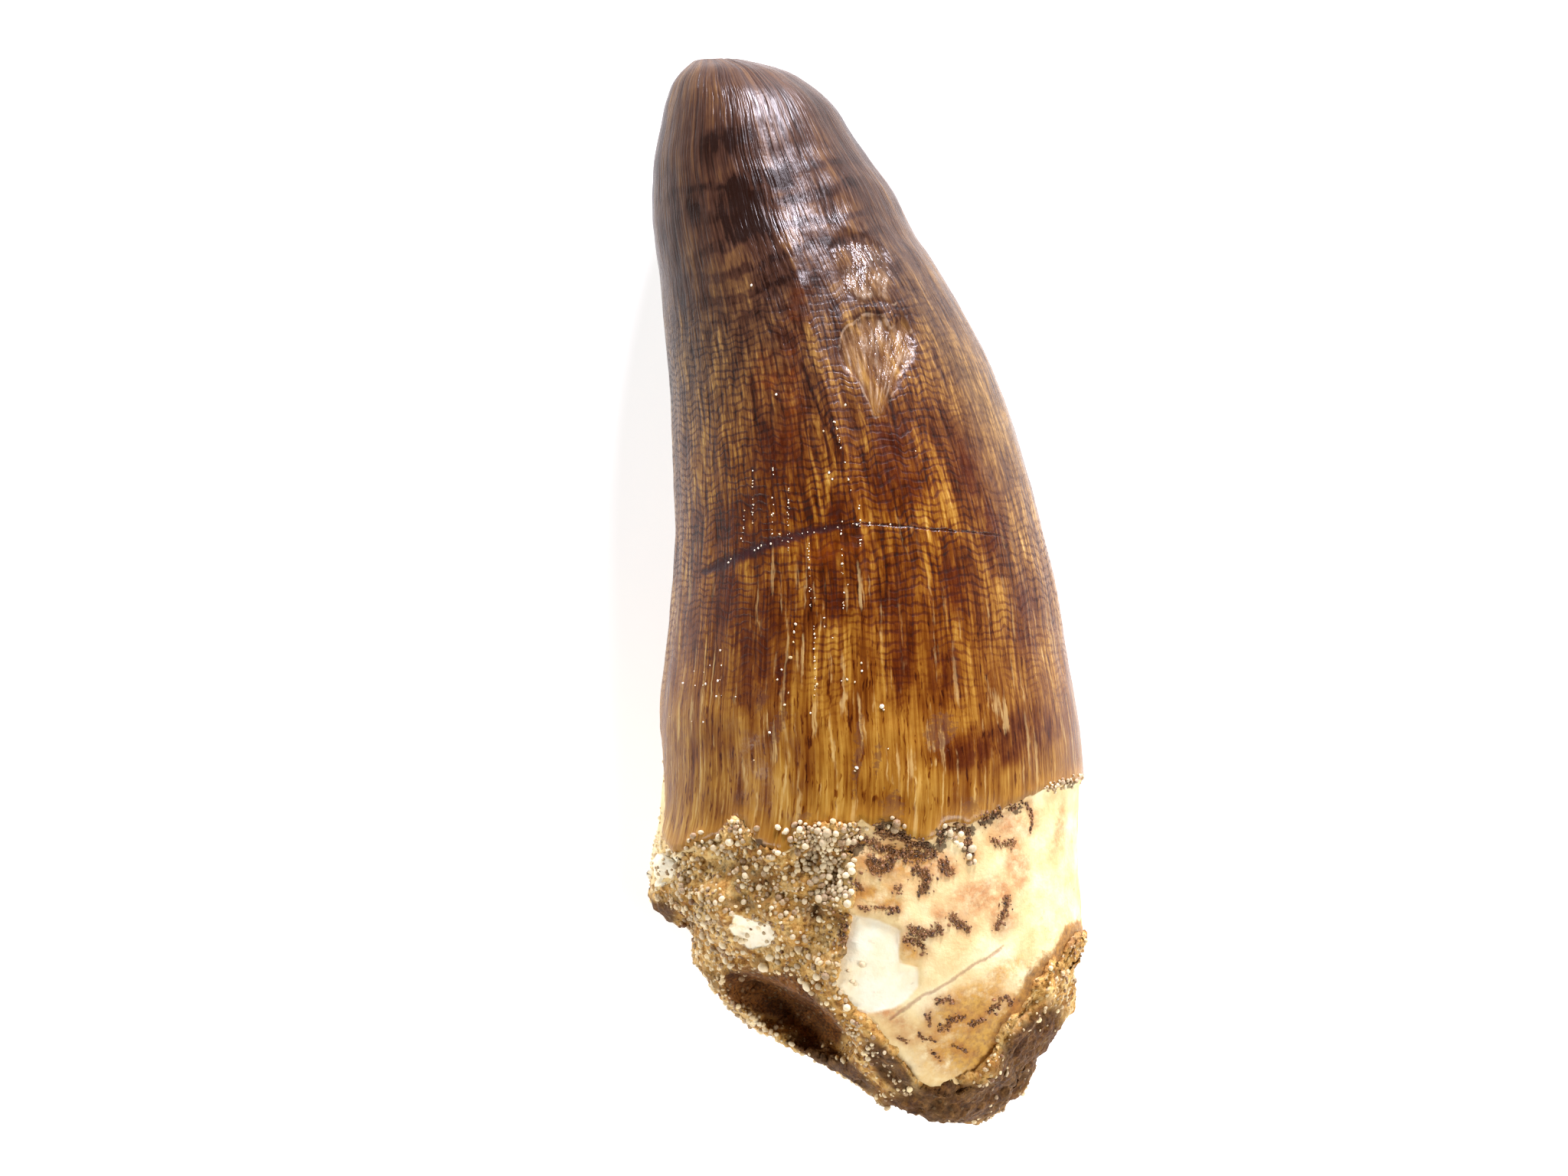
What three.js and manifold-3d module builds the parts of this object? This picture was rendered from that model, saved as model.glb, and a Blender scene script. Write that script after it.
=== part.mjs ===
// A fossil crocodile tooth lying on its side, with the sandy rock that is cemented to its broken root.
//
// Millimetres, +Z up, resting on the plane z = 0. The tooth's length runs along Y with the tip at +Y.
// +X is the convex edge of the curved crown. The face that is turned up is the one with the better root.
//
// Two pieces: "tooth", the crown and what is left of the root wall, which grew as one, and "matrix",
// the rock that fills the root from inside and covers it where the wall is gone.
import * as THREE from "three";
import { mergeVertices } from "three/addons/utils/BufferGeometryUtils.js";
import Module from "manifold-3d";

const wasm = await Module();
wasm.setup();

// ---- Driving dimensions -------------------------------------------------------------------------

const ROOT_WALL = 1.7; // thickness of the root's dentine wall
const JOINT_GAP = 0.3; // clearance between the tooth and the rock cemented to it
const MID_HEIGHT = 8; // height of the plane that parts the upper face from the lower one
const SKY = 24; // a height above everything, for the cutters
const SECTION_SIDES = 44; // facets round the tooth
const TOOTH_ROWS = 40; // rows along the tooth, closer together towards the tip
const ROCK_ROWS = 22;
const TIP_CROWDING = 1.6; // above 1, rows crowd towards the tip
const ROCK_BUMPS = 0.22; // height of the lumps on the rock

// The tooth as it would be with its root whole: for each place along Y, the two edges seen from
// above, the thickness, and the height of the underside over the resting plane. Below zero it is
// cut flat, which gives the two small faces that the tooth rests on.
const TOOTH_SECTIONS = [
  // y, left x, right x, thickness, underside z
  [-23.2, -6.4, 7.6, 11.4, 1.7],
  [-20.0, -8.2, 9.3, 14.0, 0.5],
  [-17.0, -9.3, 10.1, 15.4, 0.05],
  [-13.4, -9.9, 10.05, 16.2, -0.14],
  [-8.4, -9.45, 10.15, 16.3, -0.06],
  [-3.0, -9.3, 9.45, 15.6, 0.12],
  [1.5, -8.95, 8.65, 14.6, 0.3],
  [5.9, -9.0, 7.52, 13.7, 0.38],
  [10.5, -9.25, 5.85, 12.5, 0.3],
  [14.5, -9.55, 3.8, 11.1, 0.08],
  [17.6, -9.88, 1.9, 9.8, -0.12],
  [20.2, -9.82, 0.12, 8.5, -0.1],
  [22.4, -9.42, -1.35, 7.0, 0.3],
  [23.7, -8.98, -2.75, 5.5, 0.85],
  [24.45, -8.42, -4.25, 3.9, 1.5],
  [24.8, -8.0, -5.5, 2.4, 2.1],
];

// The rock, in the same way. It is broken off on a slant that climbs towards -X.
const ROCK_SECTIONS = [
  [-24.8, 3.9, 5.9, 3.0, 3.6],
  [-24.45, 2.7, 6.6, 4.8, 2.8],
  [-23.4, 0.3, 7.1, 7.4, 1.8],
  [-22.3, -1.3, 7.9, 9.2, 1.1],
  [-21.4, -3.1, 8.2, 10.6, 0.8],
  [-20.6, -4.7, 8.7, 11.7, 0.6],
  [-19.2, -6.5, 9.5, 13.2, 0.4],
  [-17.4, -7.7, 9.7, 14.2, 0.3],
  [-15.6, -8.5, 9.8, 14.9, 0.3],
  [-14.9, -9.6, 9.8, 15.1, 0.3],
  [-14.0, -10.03, 9.8, 15.3, 0.3],
  [-11.0, -9.35, 9.7, 15.4, 0.3],
  [-7.5, -8.9, 9.5, 15.4, 0.3],
];

// Where the crown ends, seen from above, as the enamel's margin runs from -X to +X.
const UPPER_MARGIN = [
  [-12, -12.4],
  [-9.3, -12.1],
  [-7.2, -11.2],
  [-5.95, -10.2],
  [-4.5, -11.5],
  [-3.6, -11.6],
  [-2.2, -10.6],
  [-0.3, -10.4],
  [1.0, -10.2],
  [2.7, -11.1],
  [5.5, -10.2],
  [8.0, -9.15],
  [12, -9.05],
];
const LOWER_MARGIN = [
  [-12, -12.4],
  [-6, -11.6],
  [0, -12.4],
  [6, -10.8],
  [12, -9.05],
];

// What is left of the root wall, seen from above: on the upper face, and on the lower one. Both
// start inside the crown.
const UPPER_ROOT = [
  [-0.1, -8],
  [-0.9, -11.2],
  [-0.75, -14.6],
  [-1.3, -17.0],
  [-1.1, -18.1],
  [0.4, -20.0],
  [2.2, -22.3],
  [3.1, -22.8],
  [4.2, -22.8],
  [5.6, -21.7],
  [7.1, -19.4],
  [9.6, -16.0],
  [12, -15.2],
  [12, -8],
];
const LOWER_ROOT = [
  [-12, -8],
  [-12, -13.9],
  [-7.6, -13.7],
  [-5.2, -15.4],
  [-1.5, -16.2],
  [1.2, -18.6],
  [5.4, -19.2],
  [9.0, -17.0],
  [12, -15.2],
  [12, -8],
];

// The hollow of the pulp cavity, which shows on the slanted break as a long scoop in the rock.
const SCOOP = { centre: [-3.4, -19.9, 12.6], radii: [4.4, 1.55, 5.2], turn: -33 };

const FINISHES = {
  tooth: { color: 0x7a4a22, roughness: 0.35, metalness: 0 },
  matrix: { color: 0x9c7a4a, roughness: 0.9, metalness: 0 },
};

// ---- Between three.js and manifold-3d -----------------------------------------------------------

function solidOf(geometry) {
  const bare = geometry.clone();
  bare.deleteAttribute("normal");
  bare.deleteAttribute("uv");
  const merged = mergeVertices(bare, 1e-4);
  return new wasm.Manifold(
    new wasm.Mesh({
      numProp: 3,
      vertProperties: new Float32Array(merged.attributes.position.array),
      triVerts: new Uint32Array(merged.index.array),
    }),
  );
}

function geometryOf(solid) {
  const mesh = solid.getMesh();
  const geometry = new THREE.BufferGeometry();
  geometry.setAttribute("position", new THREE.BufferAttribute(mesh.vertProperties, 3));
  geometry.setIndex(new THREE.BufferAttribute(mesh.triVerts, 1));
  geometry.computeVertexNormals();
  return geometry;
}

// ---- Shapes -------------------------------------------------------------------------------------

// A smooth curve through the sections, as a function of y that gives [left, right, thickness, under].
function along(sections) {
  const places = sections.map((section) => section[0]);
  const sizes = sections.flatMap((section) => section.slice(1));
  const curve = new THREE.CubicInterpolant(places, sizes, 4, new Float32Array(4));
  return (y) => curve.evaluate(y);
}

// A tube of oval sections, closed at both ends. grow moves its surface outwards, or inwards below 0,
// and reach moves each end along Y.
function loft(sections, { rows, crowding = 1, grow = 0, reach = 0 }) {
  const sizeAt = along(sections);
  const low = sections[0][0];
  const high = sections[sections.length - 1][0];
  const geometry = new THREE.CylinderGeometry(1, 1, 1, SECTION_SIDES, rows);
  const position = geometry.attributes.position;
  for (let i = 0; i < position.count; i++) {
    const share = 0.5 + position.getY(i);
    const y = high - (high - low) * (1 - share) ** crowding;
    const [left, right, thickness, under] = sizeAt(y);
    const halfWidth = (right - left) / 2 + grow;
    const halfDepth = thickness / 2 + grow;
    const end = share === 0 ? -reach : share === 1 ? reach : 0;
    position.setXYZ(
      i,
      (left + right) / 2 + halfWidth * position.getX(i),
      y + end,
      under + thickness / 2 + halfDepth * position.getZ(i),
    );
  }
  return geometry;
}

// Pushes a shape's surface in and out from its middle line in low lumps, the same ones every time.
function lumpy(geometry, height) {
  const position = geometry.attributes.position;
  const p = new THREE.Vector3();
  for (let i = 0; i < position.count; i++) {
    p.fromBufferAttribute(position, i);
    const wave =
      Math.sin(1.7 * p.x + 0.9 * p.y) * Math.sin(1.3 * p.z - 1.1 * p.y) +
      0.6 * Math.sin(2.9 * p.x - 2.1 * p.z + 1.4) * Math.sin(2.6 * p.y + 0.5);
    p.z += (height * wave * (p.z - MID_HEIGHT)) / MID_HEIGHT;
    p.x += (height * wave * p.x) / MID_HEIGHT;
    position.setXYZ(i, p.x, p.y, p.z);
  }
  return geometry;
}

// A closed outline with its sides moved outwards by a distance.
function grown(outline, distance) {
  const points = outline.map(([x, y]) => new THREE.Vector2(x, y));
  const turn = THREE.ShapeUtils.isClockWise(points) ? -1 : 1;
  const outward = points.map((point, i) => {
    const side = points[(i + 1) % points.length].clone().sub(point).normalize();
    return new THREE.Vector2(turn * side.y, -turn * side.x);
  });
  return points.map((point, i) => {
    const before = outward[(i + points.length - 1) % points.length];
    const mitre = before.clone().add(outward[i]).divideScalar(1 + before.dot(outward[i]));
    return point.clone().add(mitre.multiplyScalar(distance));
  });
}

// An outline seen from above, as an upright block between two heights.
function block(outline, low, high, grow) {
  const shape = new THREE.Shape(grown(outline, grow));
  const geometry = new THREE.ExtrudeGeometry(shape, { depth: high - low, bevelEnabled: false });
  return solidOf(geometry.translate(0, 0, low));
}

function upperBlock(outline, grow) {
  return block(outline, MID_HEIGHT - grow, SKY, grow);
}

function lowerBlock(outline, grow) {
  return block(outline, -SKY, MID_HEIGHT + grow, grow);
}

// The part of the object above z = 0.
function aboveFloor(solid) {
  const half = new THREE.BoxGeometry(60, 80, SKY).translate(0, 0, SKY / 2);
  return solid.intersect(solidOf(half));
}

function crownOutline(margin) {
  const tip = 30;
  return [...margin, [12, tip], [-12, tip]];
}

// The crown with its root wall. With grow, everything is that much larger, for cutting the rock.
function toothSolid(grow = 0) {
  const shape = { rows: TOOTH_ROWS, crowding: TIP_CROWDING };
  const whole = solidOf(loft(TOOTH_SECTIONS, { ...shape, grow, reach: grow }));
  const inside = solidOf(loft(TOOTH_SECTIONS, { ...shape, grow: -ROOT_WALL - grow, reach: 2 }));
  const crownArea = upperBlock(crownOutline(UPPER_MARGIN), grow).add(
    lowerBlock(crownOutline(LOWER_MARGIN), grow),
  );
  const rootArea = upperBlock(UPPER_ROOT, grow).add(lowerBlock(LOWER_ROOT, grow));
  return whole.intersect(crownArea).add(whole.subtract(inside).intersect(rootArea));
}

function scoopSolid() {
  const [x, y, z] = SCOOP.centre;
  const geometry = new THREE.SphereGeometry(1, 20, 12)
    .scale(...SCOOP.radii)
    .rotateZ(THREE.MathUtils.degToRad(SCOOP.turn))
    .translate(x, y, z);
  return solidOf(geometry);
}

// The rock: its own outer shape, less the tooth with a gap all round, less the scoop.
function matrixSolid() {
  const outside = solidOf(lumpy(loft(ROCK_SECTIONS, { rows: ROCK_ROWS }), ROCK_BUMPS));
  const pieces = outside.subtract(toothSolid(JOINT_GAP)).subtract(scoopSolid()).decompose();
  return pieces.sort((a, b) => b.volume() - a.volume())[0];
}

// ---- The object ---------------------------------------------------------------------------------

function piece(name, solid) {
  const material = new THREE.MeshStandardMaterial(FINISHES[name]);
  const mesh = new THREE.Mesh(geometryOf(aboveFloor(solid)), material);
  mesh.name = name;
  return mesh;
}

const fossil = new THREE.Group();
fossil.add(piece("tooth", toothSolid()));
fossil.add(piece("matrix", matrixSolid()));

export default fossil;
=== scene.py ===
# %% [markdown]
# # A fossil crocodile tooth
#
# This lesson builds the looks of one fossil: the curved, finely ribbed crown of a crocodile's tooth, what is
# left of its cream-coloured root, and the sandy phosphate rock that filled the root and is still cemented to
# it. It lies on its side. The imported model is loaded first: it fixes the size and the place of the tooth and
# of the rock, and everything below is fitted to it. Lengths are in millimetres until a mesh is written,
# because that is how a specimen is measured, and a metre is 1000 of them.

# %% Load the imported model
import itertools
import math

import bmesh
import bpy
import numpy as np
from mathutils import Matrix, Vector
from mathutils.bvhtree import BVHTree


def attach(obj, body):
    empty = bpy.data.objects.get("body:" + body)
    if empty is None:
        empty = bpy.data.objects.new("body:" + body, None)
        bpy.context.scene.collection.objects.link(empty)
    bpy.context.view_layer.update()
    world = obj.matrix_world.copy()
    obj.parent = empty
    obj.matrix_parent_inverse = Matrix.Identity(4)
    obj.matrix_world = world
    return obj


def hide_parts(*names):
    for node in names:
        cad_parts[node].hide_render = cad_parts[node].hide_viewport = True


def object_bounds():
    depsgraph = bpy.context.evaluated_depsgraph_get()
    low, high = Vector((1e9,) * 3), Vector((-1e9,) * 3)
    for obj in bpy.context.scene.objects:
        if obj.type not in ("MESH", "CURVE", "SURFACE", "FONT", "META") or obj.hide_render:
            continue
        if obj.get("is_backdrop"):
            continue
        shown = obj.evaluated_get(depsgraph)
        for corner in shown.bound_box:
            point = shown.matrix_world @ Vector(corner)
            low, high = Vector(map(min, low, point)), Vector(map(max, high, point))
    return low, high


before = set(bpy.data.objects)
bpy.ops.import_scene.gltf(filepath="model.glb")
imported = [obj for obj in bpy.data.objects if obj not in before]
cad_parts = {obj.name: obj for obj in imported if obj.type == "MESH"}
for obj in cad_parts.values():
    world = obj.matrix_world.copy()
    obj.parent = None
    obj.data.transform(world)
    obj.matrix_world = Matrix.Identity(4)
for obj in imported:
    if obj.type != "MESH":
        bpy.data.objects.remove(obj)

MM = 0.001
cad_box = [list(corner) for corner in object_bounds()]
print("packed model, mm:", [[round(c / MM, 2) for c in corner] for corner in cad_box])

# %% [markdown]
# ## Camera, floor and light
#
# The tooth lies down, so the camera looks straight down on it, from 250 mm above its middle and through a
# long lens, which keeps the outline true. The floor is a pale sheet lit from below as well as from above, as
# on a light table, which leaves hardly any shadow round a specimen. A large soft lamp beyond the tip draws
# the long highlight on the enamel, and two weaker ones open up the flanks.

# %% Camera
MID_HEIGHT = 8.0
CAMERA_OVER = (-3.8, 0.25)
CAMERA_DISTANCE = 250.0
VIEW_WIDTH = 73.14

camera_data = bpy.data.cameras.new("camera")
camera_data.sensor_width = 36.0
camera_data.lens = camera_data.sensor_width * CAMERA_DISTANCE / VIEW_WIDTH
camera_data.clip_start, camera_data.clip_end = 0.01, 10.0
camera = bpy.data.objects.new("camera", camera_data)
camera.location = Vector((*CAMERA_OVER, MID_HEIGHT + CAMERA_DISTANCE)) * MM
bpy.context.collection.objects.link(camera)
bpy.context.scene.camera = camera
bpy.context.scene.view_settings.view_transform = "Standard"
print("lens", round(camera_data.lens, 1), "mm")


# %% [markdown]
# ## Writing a finish as sums
#
# A finish is a network of nodes. Placing them one by one hides what they say, so a small class wraps a
# socket: an expression such as `1 - stain * 0.4` adds its Math nodes. One method adds any other node.
# Colours are written as they are read off a screen, 0 to 255.

# %% A socket that can be used in sums
class Wire:
    """The output of a node. Sums with wires and numbers add Math nodes."""

    def __init__(self, finish, socket):
        self.finish, self.socket = finish, socket

    def math(self, operation, *others):
        return self.finish.node("Math", {"operation": operation}, dict(enumerate((self, *others))))

    def __add__(self, other):
        return self.math("ADD", other)

    def __sub__(self, other):
        return self.math("SUBTRACT", other)

    def __rsub__(self, other):
        return self.math("MULTIPLY_ADD", -1.0, other)

    def __mul__(self, other):
        return self.math("MULTIPLY", other)

    __radd__, __rmul__ = __add__, __mul__

    def clamp(self):
        return self.finish.node("Clamp", {}, {0: self})

    def ramp(self, low, high):
        """0 below low and 1 above high, with a soft turn at both. Low may be the larger."""
        limits = {"Value": self, 1: low, 2: high, 3: 0.0, 4: 1.0}
        return self.finish.node("MapRange", {"interpolation_type": "SMOOTHSTEP"}, limits)

    def channel(self, name):
        return self.finish.node("SeparateXYZ", {}, {0: self}, out=name)


def paint(red, green, blue):
    """A screen colour as the shader wants it."""
    shares = (red / 255, green / 255, blue / 255)
    return (*(c / 12.92 if c <= 0.04045 else ((c + 0.055) / 1.055) ** 2.4 for c in shares), 1.0)


print("mid amber is", [round(c, 3) for c in paint(165, 110, 45)])


# %% A material in the making
class Finish:
    """The nodes of one material, or of the sky when kind is worlds."""

    def __init__(self, name, kind="materials"):
        self.made = getattr(bpy.data, kind).new(name)
        self.made.use_nodes = True
        self.tree = self.made.node_tree
        self.tree.nodes.clear()

    def node(self, kind, settings=None, inputs=None, out=0):
        """Adds a node, sets it, feeds it wires or plain values, and gives one of its outputs."""
        node = self.tree.nodes.new("ShaderNode" + kind)
        for name, value in (settings or {}).items():
            if name == "stops":
                self.set_stops(node.color_ramp.elements, value)
            else:
                setattr(node, name, value)
        for name, value in (inputs or {}).items():
            if isinstance(value, Wire):
                self.tree.links.new(value.socket, node.inputs[name])
            else:
                node.inputs[name].default_value = value
        return Wire(self, node.outputs[out]) if node.outputs else None

    @staticmethod
    def set_stops(elements, stops):
        """Each stop is a place and its colour, or a place and a plain number."""
        for position, *_ in stops[len(elements):]:
            elements.new(position)
        for element, (position, *colour) in zip(elements, stops):
            element.position = position
            element.color = paint(*colour) if len(colour) == 3 else colour * 4

    def attribute(self, name, out="Fac"):
        return self.node("Attribute", {"attribute_name": name}, out=out)

    def place(self):
        """Where a point of the surface is, in millimetres."""
        return self.scaled(self.node("TexCoord", out="Object"), (1 / MM,) * 3)

    def scaled(self, vector, factors):
        return self.node("VectorMath", {"operation": "MULTIPLY"}, {0: vector, 1: factors})

    def noise(self, vector, size, detail=3.0, rough=0.5, twist=0.0, out="Fac"):
        """Cloudy values round 0.5, with clouds about size across."""
        inputs = {"Vector": vector, "Scale": 1 / size, "Detail": detail, "Roughness": rough}
        return self.node("TexNoise", {}, {**inputs, "Distortion": twist}, out=out)

    def blend(self, share, first, second):
        """The first colour where share is 0, and the second where it is 1."""
        first, second = (c if isinstance(c, Wire) else paint(*c) for c in (first, second))
        settings = {"data_type": "RGBA", "clamp_factor": True}
        return self.node("Mix", settings, {0: share, 6: first, 7: second}, out=2)

    def gradient(self, value, *stops):
        return self.node("ValToRGB", {"stops": stops}, {0: value})

    def stained(self, colour, grain, *stains):
        """Lays stains over a colour. Each is its share, then one colour or a gradient's stops along grain."""
        for share, *stops in stains:
            over = stops[0] if len(stops) == 1 else self.gradient(grain, *stops)
            colour = self.blend(share, colour, over)
        return colour

    def bump(self, height, distance, under=None):
        inputs = {"Height": height, "Distance": distance * MM}
        if under:
            inputs["Normal"] = under
        return self.node("Bump", {}, inputs)

    def surface(self, colour, rough, normal, **constants):
        inputs = {"Base Color": colour, "Roughness": rough, "Normal": normal}
        shader = self.node("BsdfPrincipled", {}, inputs)
        for name, value in constants.items():
            shader.socket.node.inputs[name.replace("_", " ")].default_value = value
        self.node("OutputMaterial", {}, {"Surface": shader})
        return self.made


# %% Floor and lamps
FLOOR_SIZE, FLOOR_GAP = 1.6, 0.02  # metres, and millimetres under the tooth
SHEET_GREYS = ((231, 231, 231), (236, 236, 236))
SHEET_GLOW = 0.6
LAMPS = {
    # name: place in mm, width and height in mm, watts, colour
    "beyond_tip": ((70, 360, 125), (80, 110), 3.4, (0.94, 0.88, 1.0)),
    "left": ((-330, -110, 230), (160, 160), 0.9, (1.0, 0.98, 0.96)),
    "right": ((290, -190, 240), (200, 200), 1.5, (1.0, 0.98, 0.95)),
}
SKY_STRENGTHS = {"From Min": 0.1, "From Max": 0.7, "To Min": 0.7, "To Max": 0.02}  # by height in the sky


def light_table():
    bpy.ops.mesh.primitive_plane_add(size=FLOOR_SIZE)
    floor = bpy.context.object
    floor.name = "floor"
    floor.location.z = -FLOOR_GAP * MM
    sheet = Finish("floor_sheet")
    speckle = sheet.noise(sheet.place(), 3.0)
    glow = {"Emission_Color": (1, 1, 1, 1), "Emission_Strength": SHEET_GLOW}
    floor.data.materials.append(
        sheet.surface(sheet.blend(speckle, *SHEET_GREYS), 0.7, sheet.bump(speckle, 0.02), **glow))
    floor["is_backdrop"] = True


def lamp(name, place, size, power, colour):
    data = bpy.data.lights.new(name, "AREA")
    data.shape, data.size, data.size_y = "ELLIPSE", size[0] * MM, size[1] * MM
    data.energy, data.color = power, colour
    lamp_object = bpy.data.objects.new(name, data)
    lamp_object.location = Vector(place) * MM
    lamp_object.rotation_euler = (-lamp_object.location).to_track_quat("-Z", "Y").to_euler()
    bpy.context.collection.objects.link(lamp_object)


def sky():
    """White, bright near the horizon and darker overhead, where the camera hangs in a dim room."""
    studio = Finish("studio", "worlds")
    height = studio.node("TexCoord", out="Generated").channel("Z")
    strength = studio.node("MapRange", {}, {"Value": height, **SKY_STRENGTHS})
    light = studio.node("Background", {}, {"Color": (1, 1, 1, 1), "Strength": strength})
    studio.node("OutputWorld", {}, {"Surface": light})
    bpy.context.scene.world = studio.made


light_table()
for name, (place, size, power, colour) in LAMPS.items():
    lamp(name, place, size, power, colour)
sky()
print(len(LAMPS), "lamps over a glowing sheet")

# %% [markdown]
# ## Curves, waves and outlines
#
# Four helpers do the measuring. A curve runs smoothly through a few stations. `ease` turns softly from 0 to
# 1. A wave is a smooth random value that is the same on every run. `inside` tells how far a point is from a
# drawn edge, more than 0 inside it.

# %% Helpers for shapes
HASH, HASH_SCALE = (127.1, 311.7, 74.7), 43758.5453  # any large uneven numbers scramble a cell's place


def curve(stations, at):
    """A smooth curve through rows of [place, value, ...], read at many places."""
    rows = np.array(stations, float)
    knots, values = rows[:, 0], rows[:, 1:]
    slope = np.gradient(values, knots, axis=0)
    k = np.clip(np.searchsorted(knots, at, side="right") - 1, 0, len(knots) - 2)
    step = (knots[k + 1] - knots[k])[..., None]
    t = np.clip((at[..., None] - knots[k][..., None]) / step, 0, 1)
    return (
        (1 + 2 * t) * (1 - t) ** 2 * values[k]
        + t * (1 - t) ** 2 * step * slope[k]
        + t**2 * (3 - 2 * t) * values[k + 1]
        + t**2 * (t - 1) * step * slope[k + 1]
    ).T


def ease(value, low, high):
    """0 below low, 1 above high, with a soft turn at both. Low may be the larger."""
    t = np.clip((value - low) / (high - low), 0, 1)
    return t * t * (3 - 2 * t)


def wave(points, size, seed=0):
    """A smooth random value between -1 and 1 at each point, with waves about size across."""
    points = np.asarray(points, float) / size
    cell = np.floor(points)
    part = points - cell
    part = part * part * (3 - 2 * part)
    total = 0.0
    for corner in itertools.product((0, 1), repeat=points.shape[-1]):
        weight = np.prod(np.where(corner, part, 1 - part), axis=-1)
        mixed = np.sin((cell + corner) @ HASH[: points.shape[-1]] + 53.3 * seed) * HASH_SCALE
        total = total + weight * (2 * (mixed - np.floor(mixed)) - 1)
    return total


def inside(outline, points):
    """How far each point is inside a closed outline, in its plane. Outside it is less than 0."""
    corners = np.array(outline, float)
    x, y = np.asarray(points, float).T
    nearest = np.full(len(x), np.inf)
    within = np.zeros(len(x), bool)
    for (ax, ay), (bx, by) in zip(corners, np.roll(corners, -1, axis=0)):
        dx, dy = bx - ax, by - ay
        along = np.clip(((x - ax) * dx + (y - ay) * dy) / (dx**2 + dy**2), 0, 1)
        nearest = np.minimum(nearest, np.hypot(x - ax - along * dx, y - ay - along * dy))
        if dy:
            within ^= ((ay > y) != (by > y)) & (x < dx * (y - ay) / dy + ax)
    return np.where(within, nearest, -nearest)


print("a wave is", wave(np.array([[0.3, 0.2, 0.1]]), 1.0).round(3), "there on every run")

# %% [markdown]
# ## The form of the tooth
#
# A crocodile's tooth is a curved cone with an oval section, worn blunt at the tip. Its sections are known
# from its two edges, seen from above, and from its thickness, so the form is a tube with a smooth curve
# through each of those. A place on the tube is an angle round it and a height along it. The angle is
# counted from the convex edge at +X, over the upper face at 90 degrees, to the concave edge at 180.
#
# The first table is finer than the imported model's, because the outline is what the eye checks first.

# %% Stations along the tooth
EDGES = [
    # y, left x, right x of the enamel, or of where the enamel would be
    (-23.4, -6.2, 8.0), (-21.3, -7.7, 9.15), (-19.1, -8.9, 9.95), (-16.25, -10.0, 10.3),
    (-13.4, -10.3, 10.18), (-11.6, -10.1, 10.08), (-10.5, -9.83, 10.1), (-8.4, -9.65, 10.16),
    (-5.5, -9.66, 9.88), (-2.7, -9.33, 9.4), (0.2, -9.05, 8.95), (3.05, -8.91, 8.27), (5.9, -9.02, 7.52),
    (8.75, -9.16, 6.59), (11.67, -9.34, 5.44), (14.64, -9.6, 3.84), (17.51, -9.96, 2.05),
    (19.01, -10.0, 1.3), (20.51, -9.93, 0.24), (21.95, -9.64, -0.66), (23.44, -9.32, -1.7),
    (24.16, -9.07, -2.6), (24.9, -8.5, -4.05), (25.26, -8.1, -5.45),
]
DEPTHS = [
    # y, thickness, height of the underside
    (-23.4, 11.2, 1.8), (-20.0, 14.0, 0.5), (-17.0, 15.4, 0.05), (-13.4, 16.2, -0.14), (-8.4, 16.3, -0.06),
    (-3.0, 15.6, 0.12), (1.5, 14.6, 0.3), (5.9, 13.7, 0.38), (10.5, 12.5, 0.3), (14.64, 11.1, 0.08),
    (17.8, 9.8, -0.12), (20.5, 8.5, -0.1), (22.75, 7.0, 0.3), (24.1, 5.5, 0.85), (24.9, 3.9, 1.5),
    (25.26, 2.4, 2.1),
]
ROOT_END, TIP = EDGES[0][0], EDGES[-1][0]
TIP_CAP = 1.6  # how far the tube's rows run on beyond the tip, closing over its worn end
TIP_DOME = 0.1
ROUND = 9.5  # millimetres of unrolled width for each radian round the tooth


def section(y):
    """Middle x, middle z, half width and half thickness of the tooth at each y."""
    left, right = curve(EDGES, np.minimum(y, TIP))
    thick, under = curve(DEPTHS, np.minimum(y, TIP))
    return (left + right) / 2, under + thick / 2, (right - left) / 2, thick / 2


def bare_form(angle, height):
    """Points of the smooth form, before any wear or damage, for arrays of angles and heights."""
    middle_x, middle_z, half_width, half_thick = section(height)
    closing = np.clip((height - TIP) / TIP_CAP, 0, 1) * np.pi / 2
    x = middle_x + half_width * np.cos(closing) * np.cos(angle)
    z = middle_z + half_thick * np.cos(closing) * np.sin(angle)
    return np.stack([x, np.minimum(height, TIP) + TIP_DOME * np.sin(closing), z], axis=-1)


def outward(angle, height, step=0.02):
    """The direction straight out of the smooth form."""
    round_it = bare_form(angle + step, height) - bare_form(angle - step, height)
    below_cap = np.minimum(height, TIP + TIP_CAP - 2 * step)
    up_it = bare_form(angle, below_cap + step) - bare_form(angle, below_cap - step)
    across = np.cross(up_it, round_it)
    return across / np.maximum(np.linalg.norm(across, axis=-1, keepdims=True), 1e-9)


print(len(EDGES), "stations, from", ROOT_END, "to", TIP)

# %% [markdown]
# ## Edges drawn on the unrolled tooth
#
# Two edges run right round the tooth: the scalloped lower edge of the enamel, and the broken edge of the
# root wall. Both are easiest to draw on the tooth unrolled flat, like a label. Points that are known from
# above are put in their place on it by `upper` and `lower`, for the face that is up and the one that is down.
# `flank` places a point by its angle in degrees.

# %% The enamel's edge and the broken edge of the root
def upper(*spots):
    """Unrolled places of points on the upper face, given by their x and y."""
    placed = []
    for x, y in spots:
        middle_x, _, half_width, _ = section(np.array(y, float))
        placed.append((math.acos(max(-1, min(1, (x - middle_x) / half_width))) * ROUND, y))
    return placed


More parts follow.
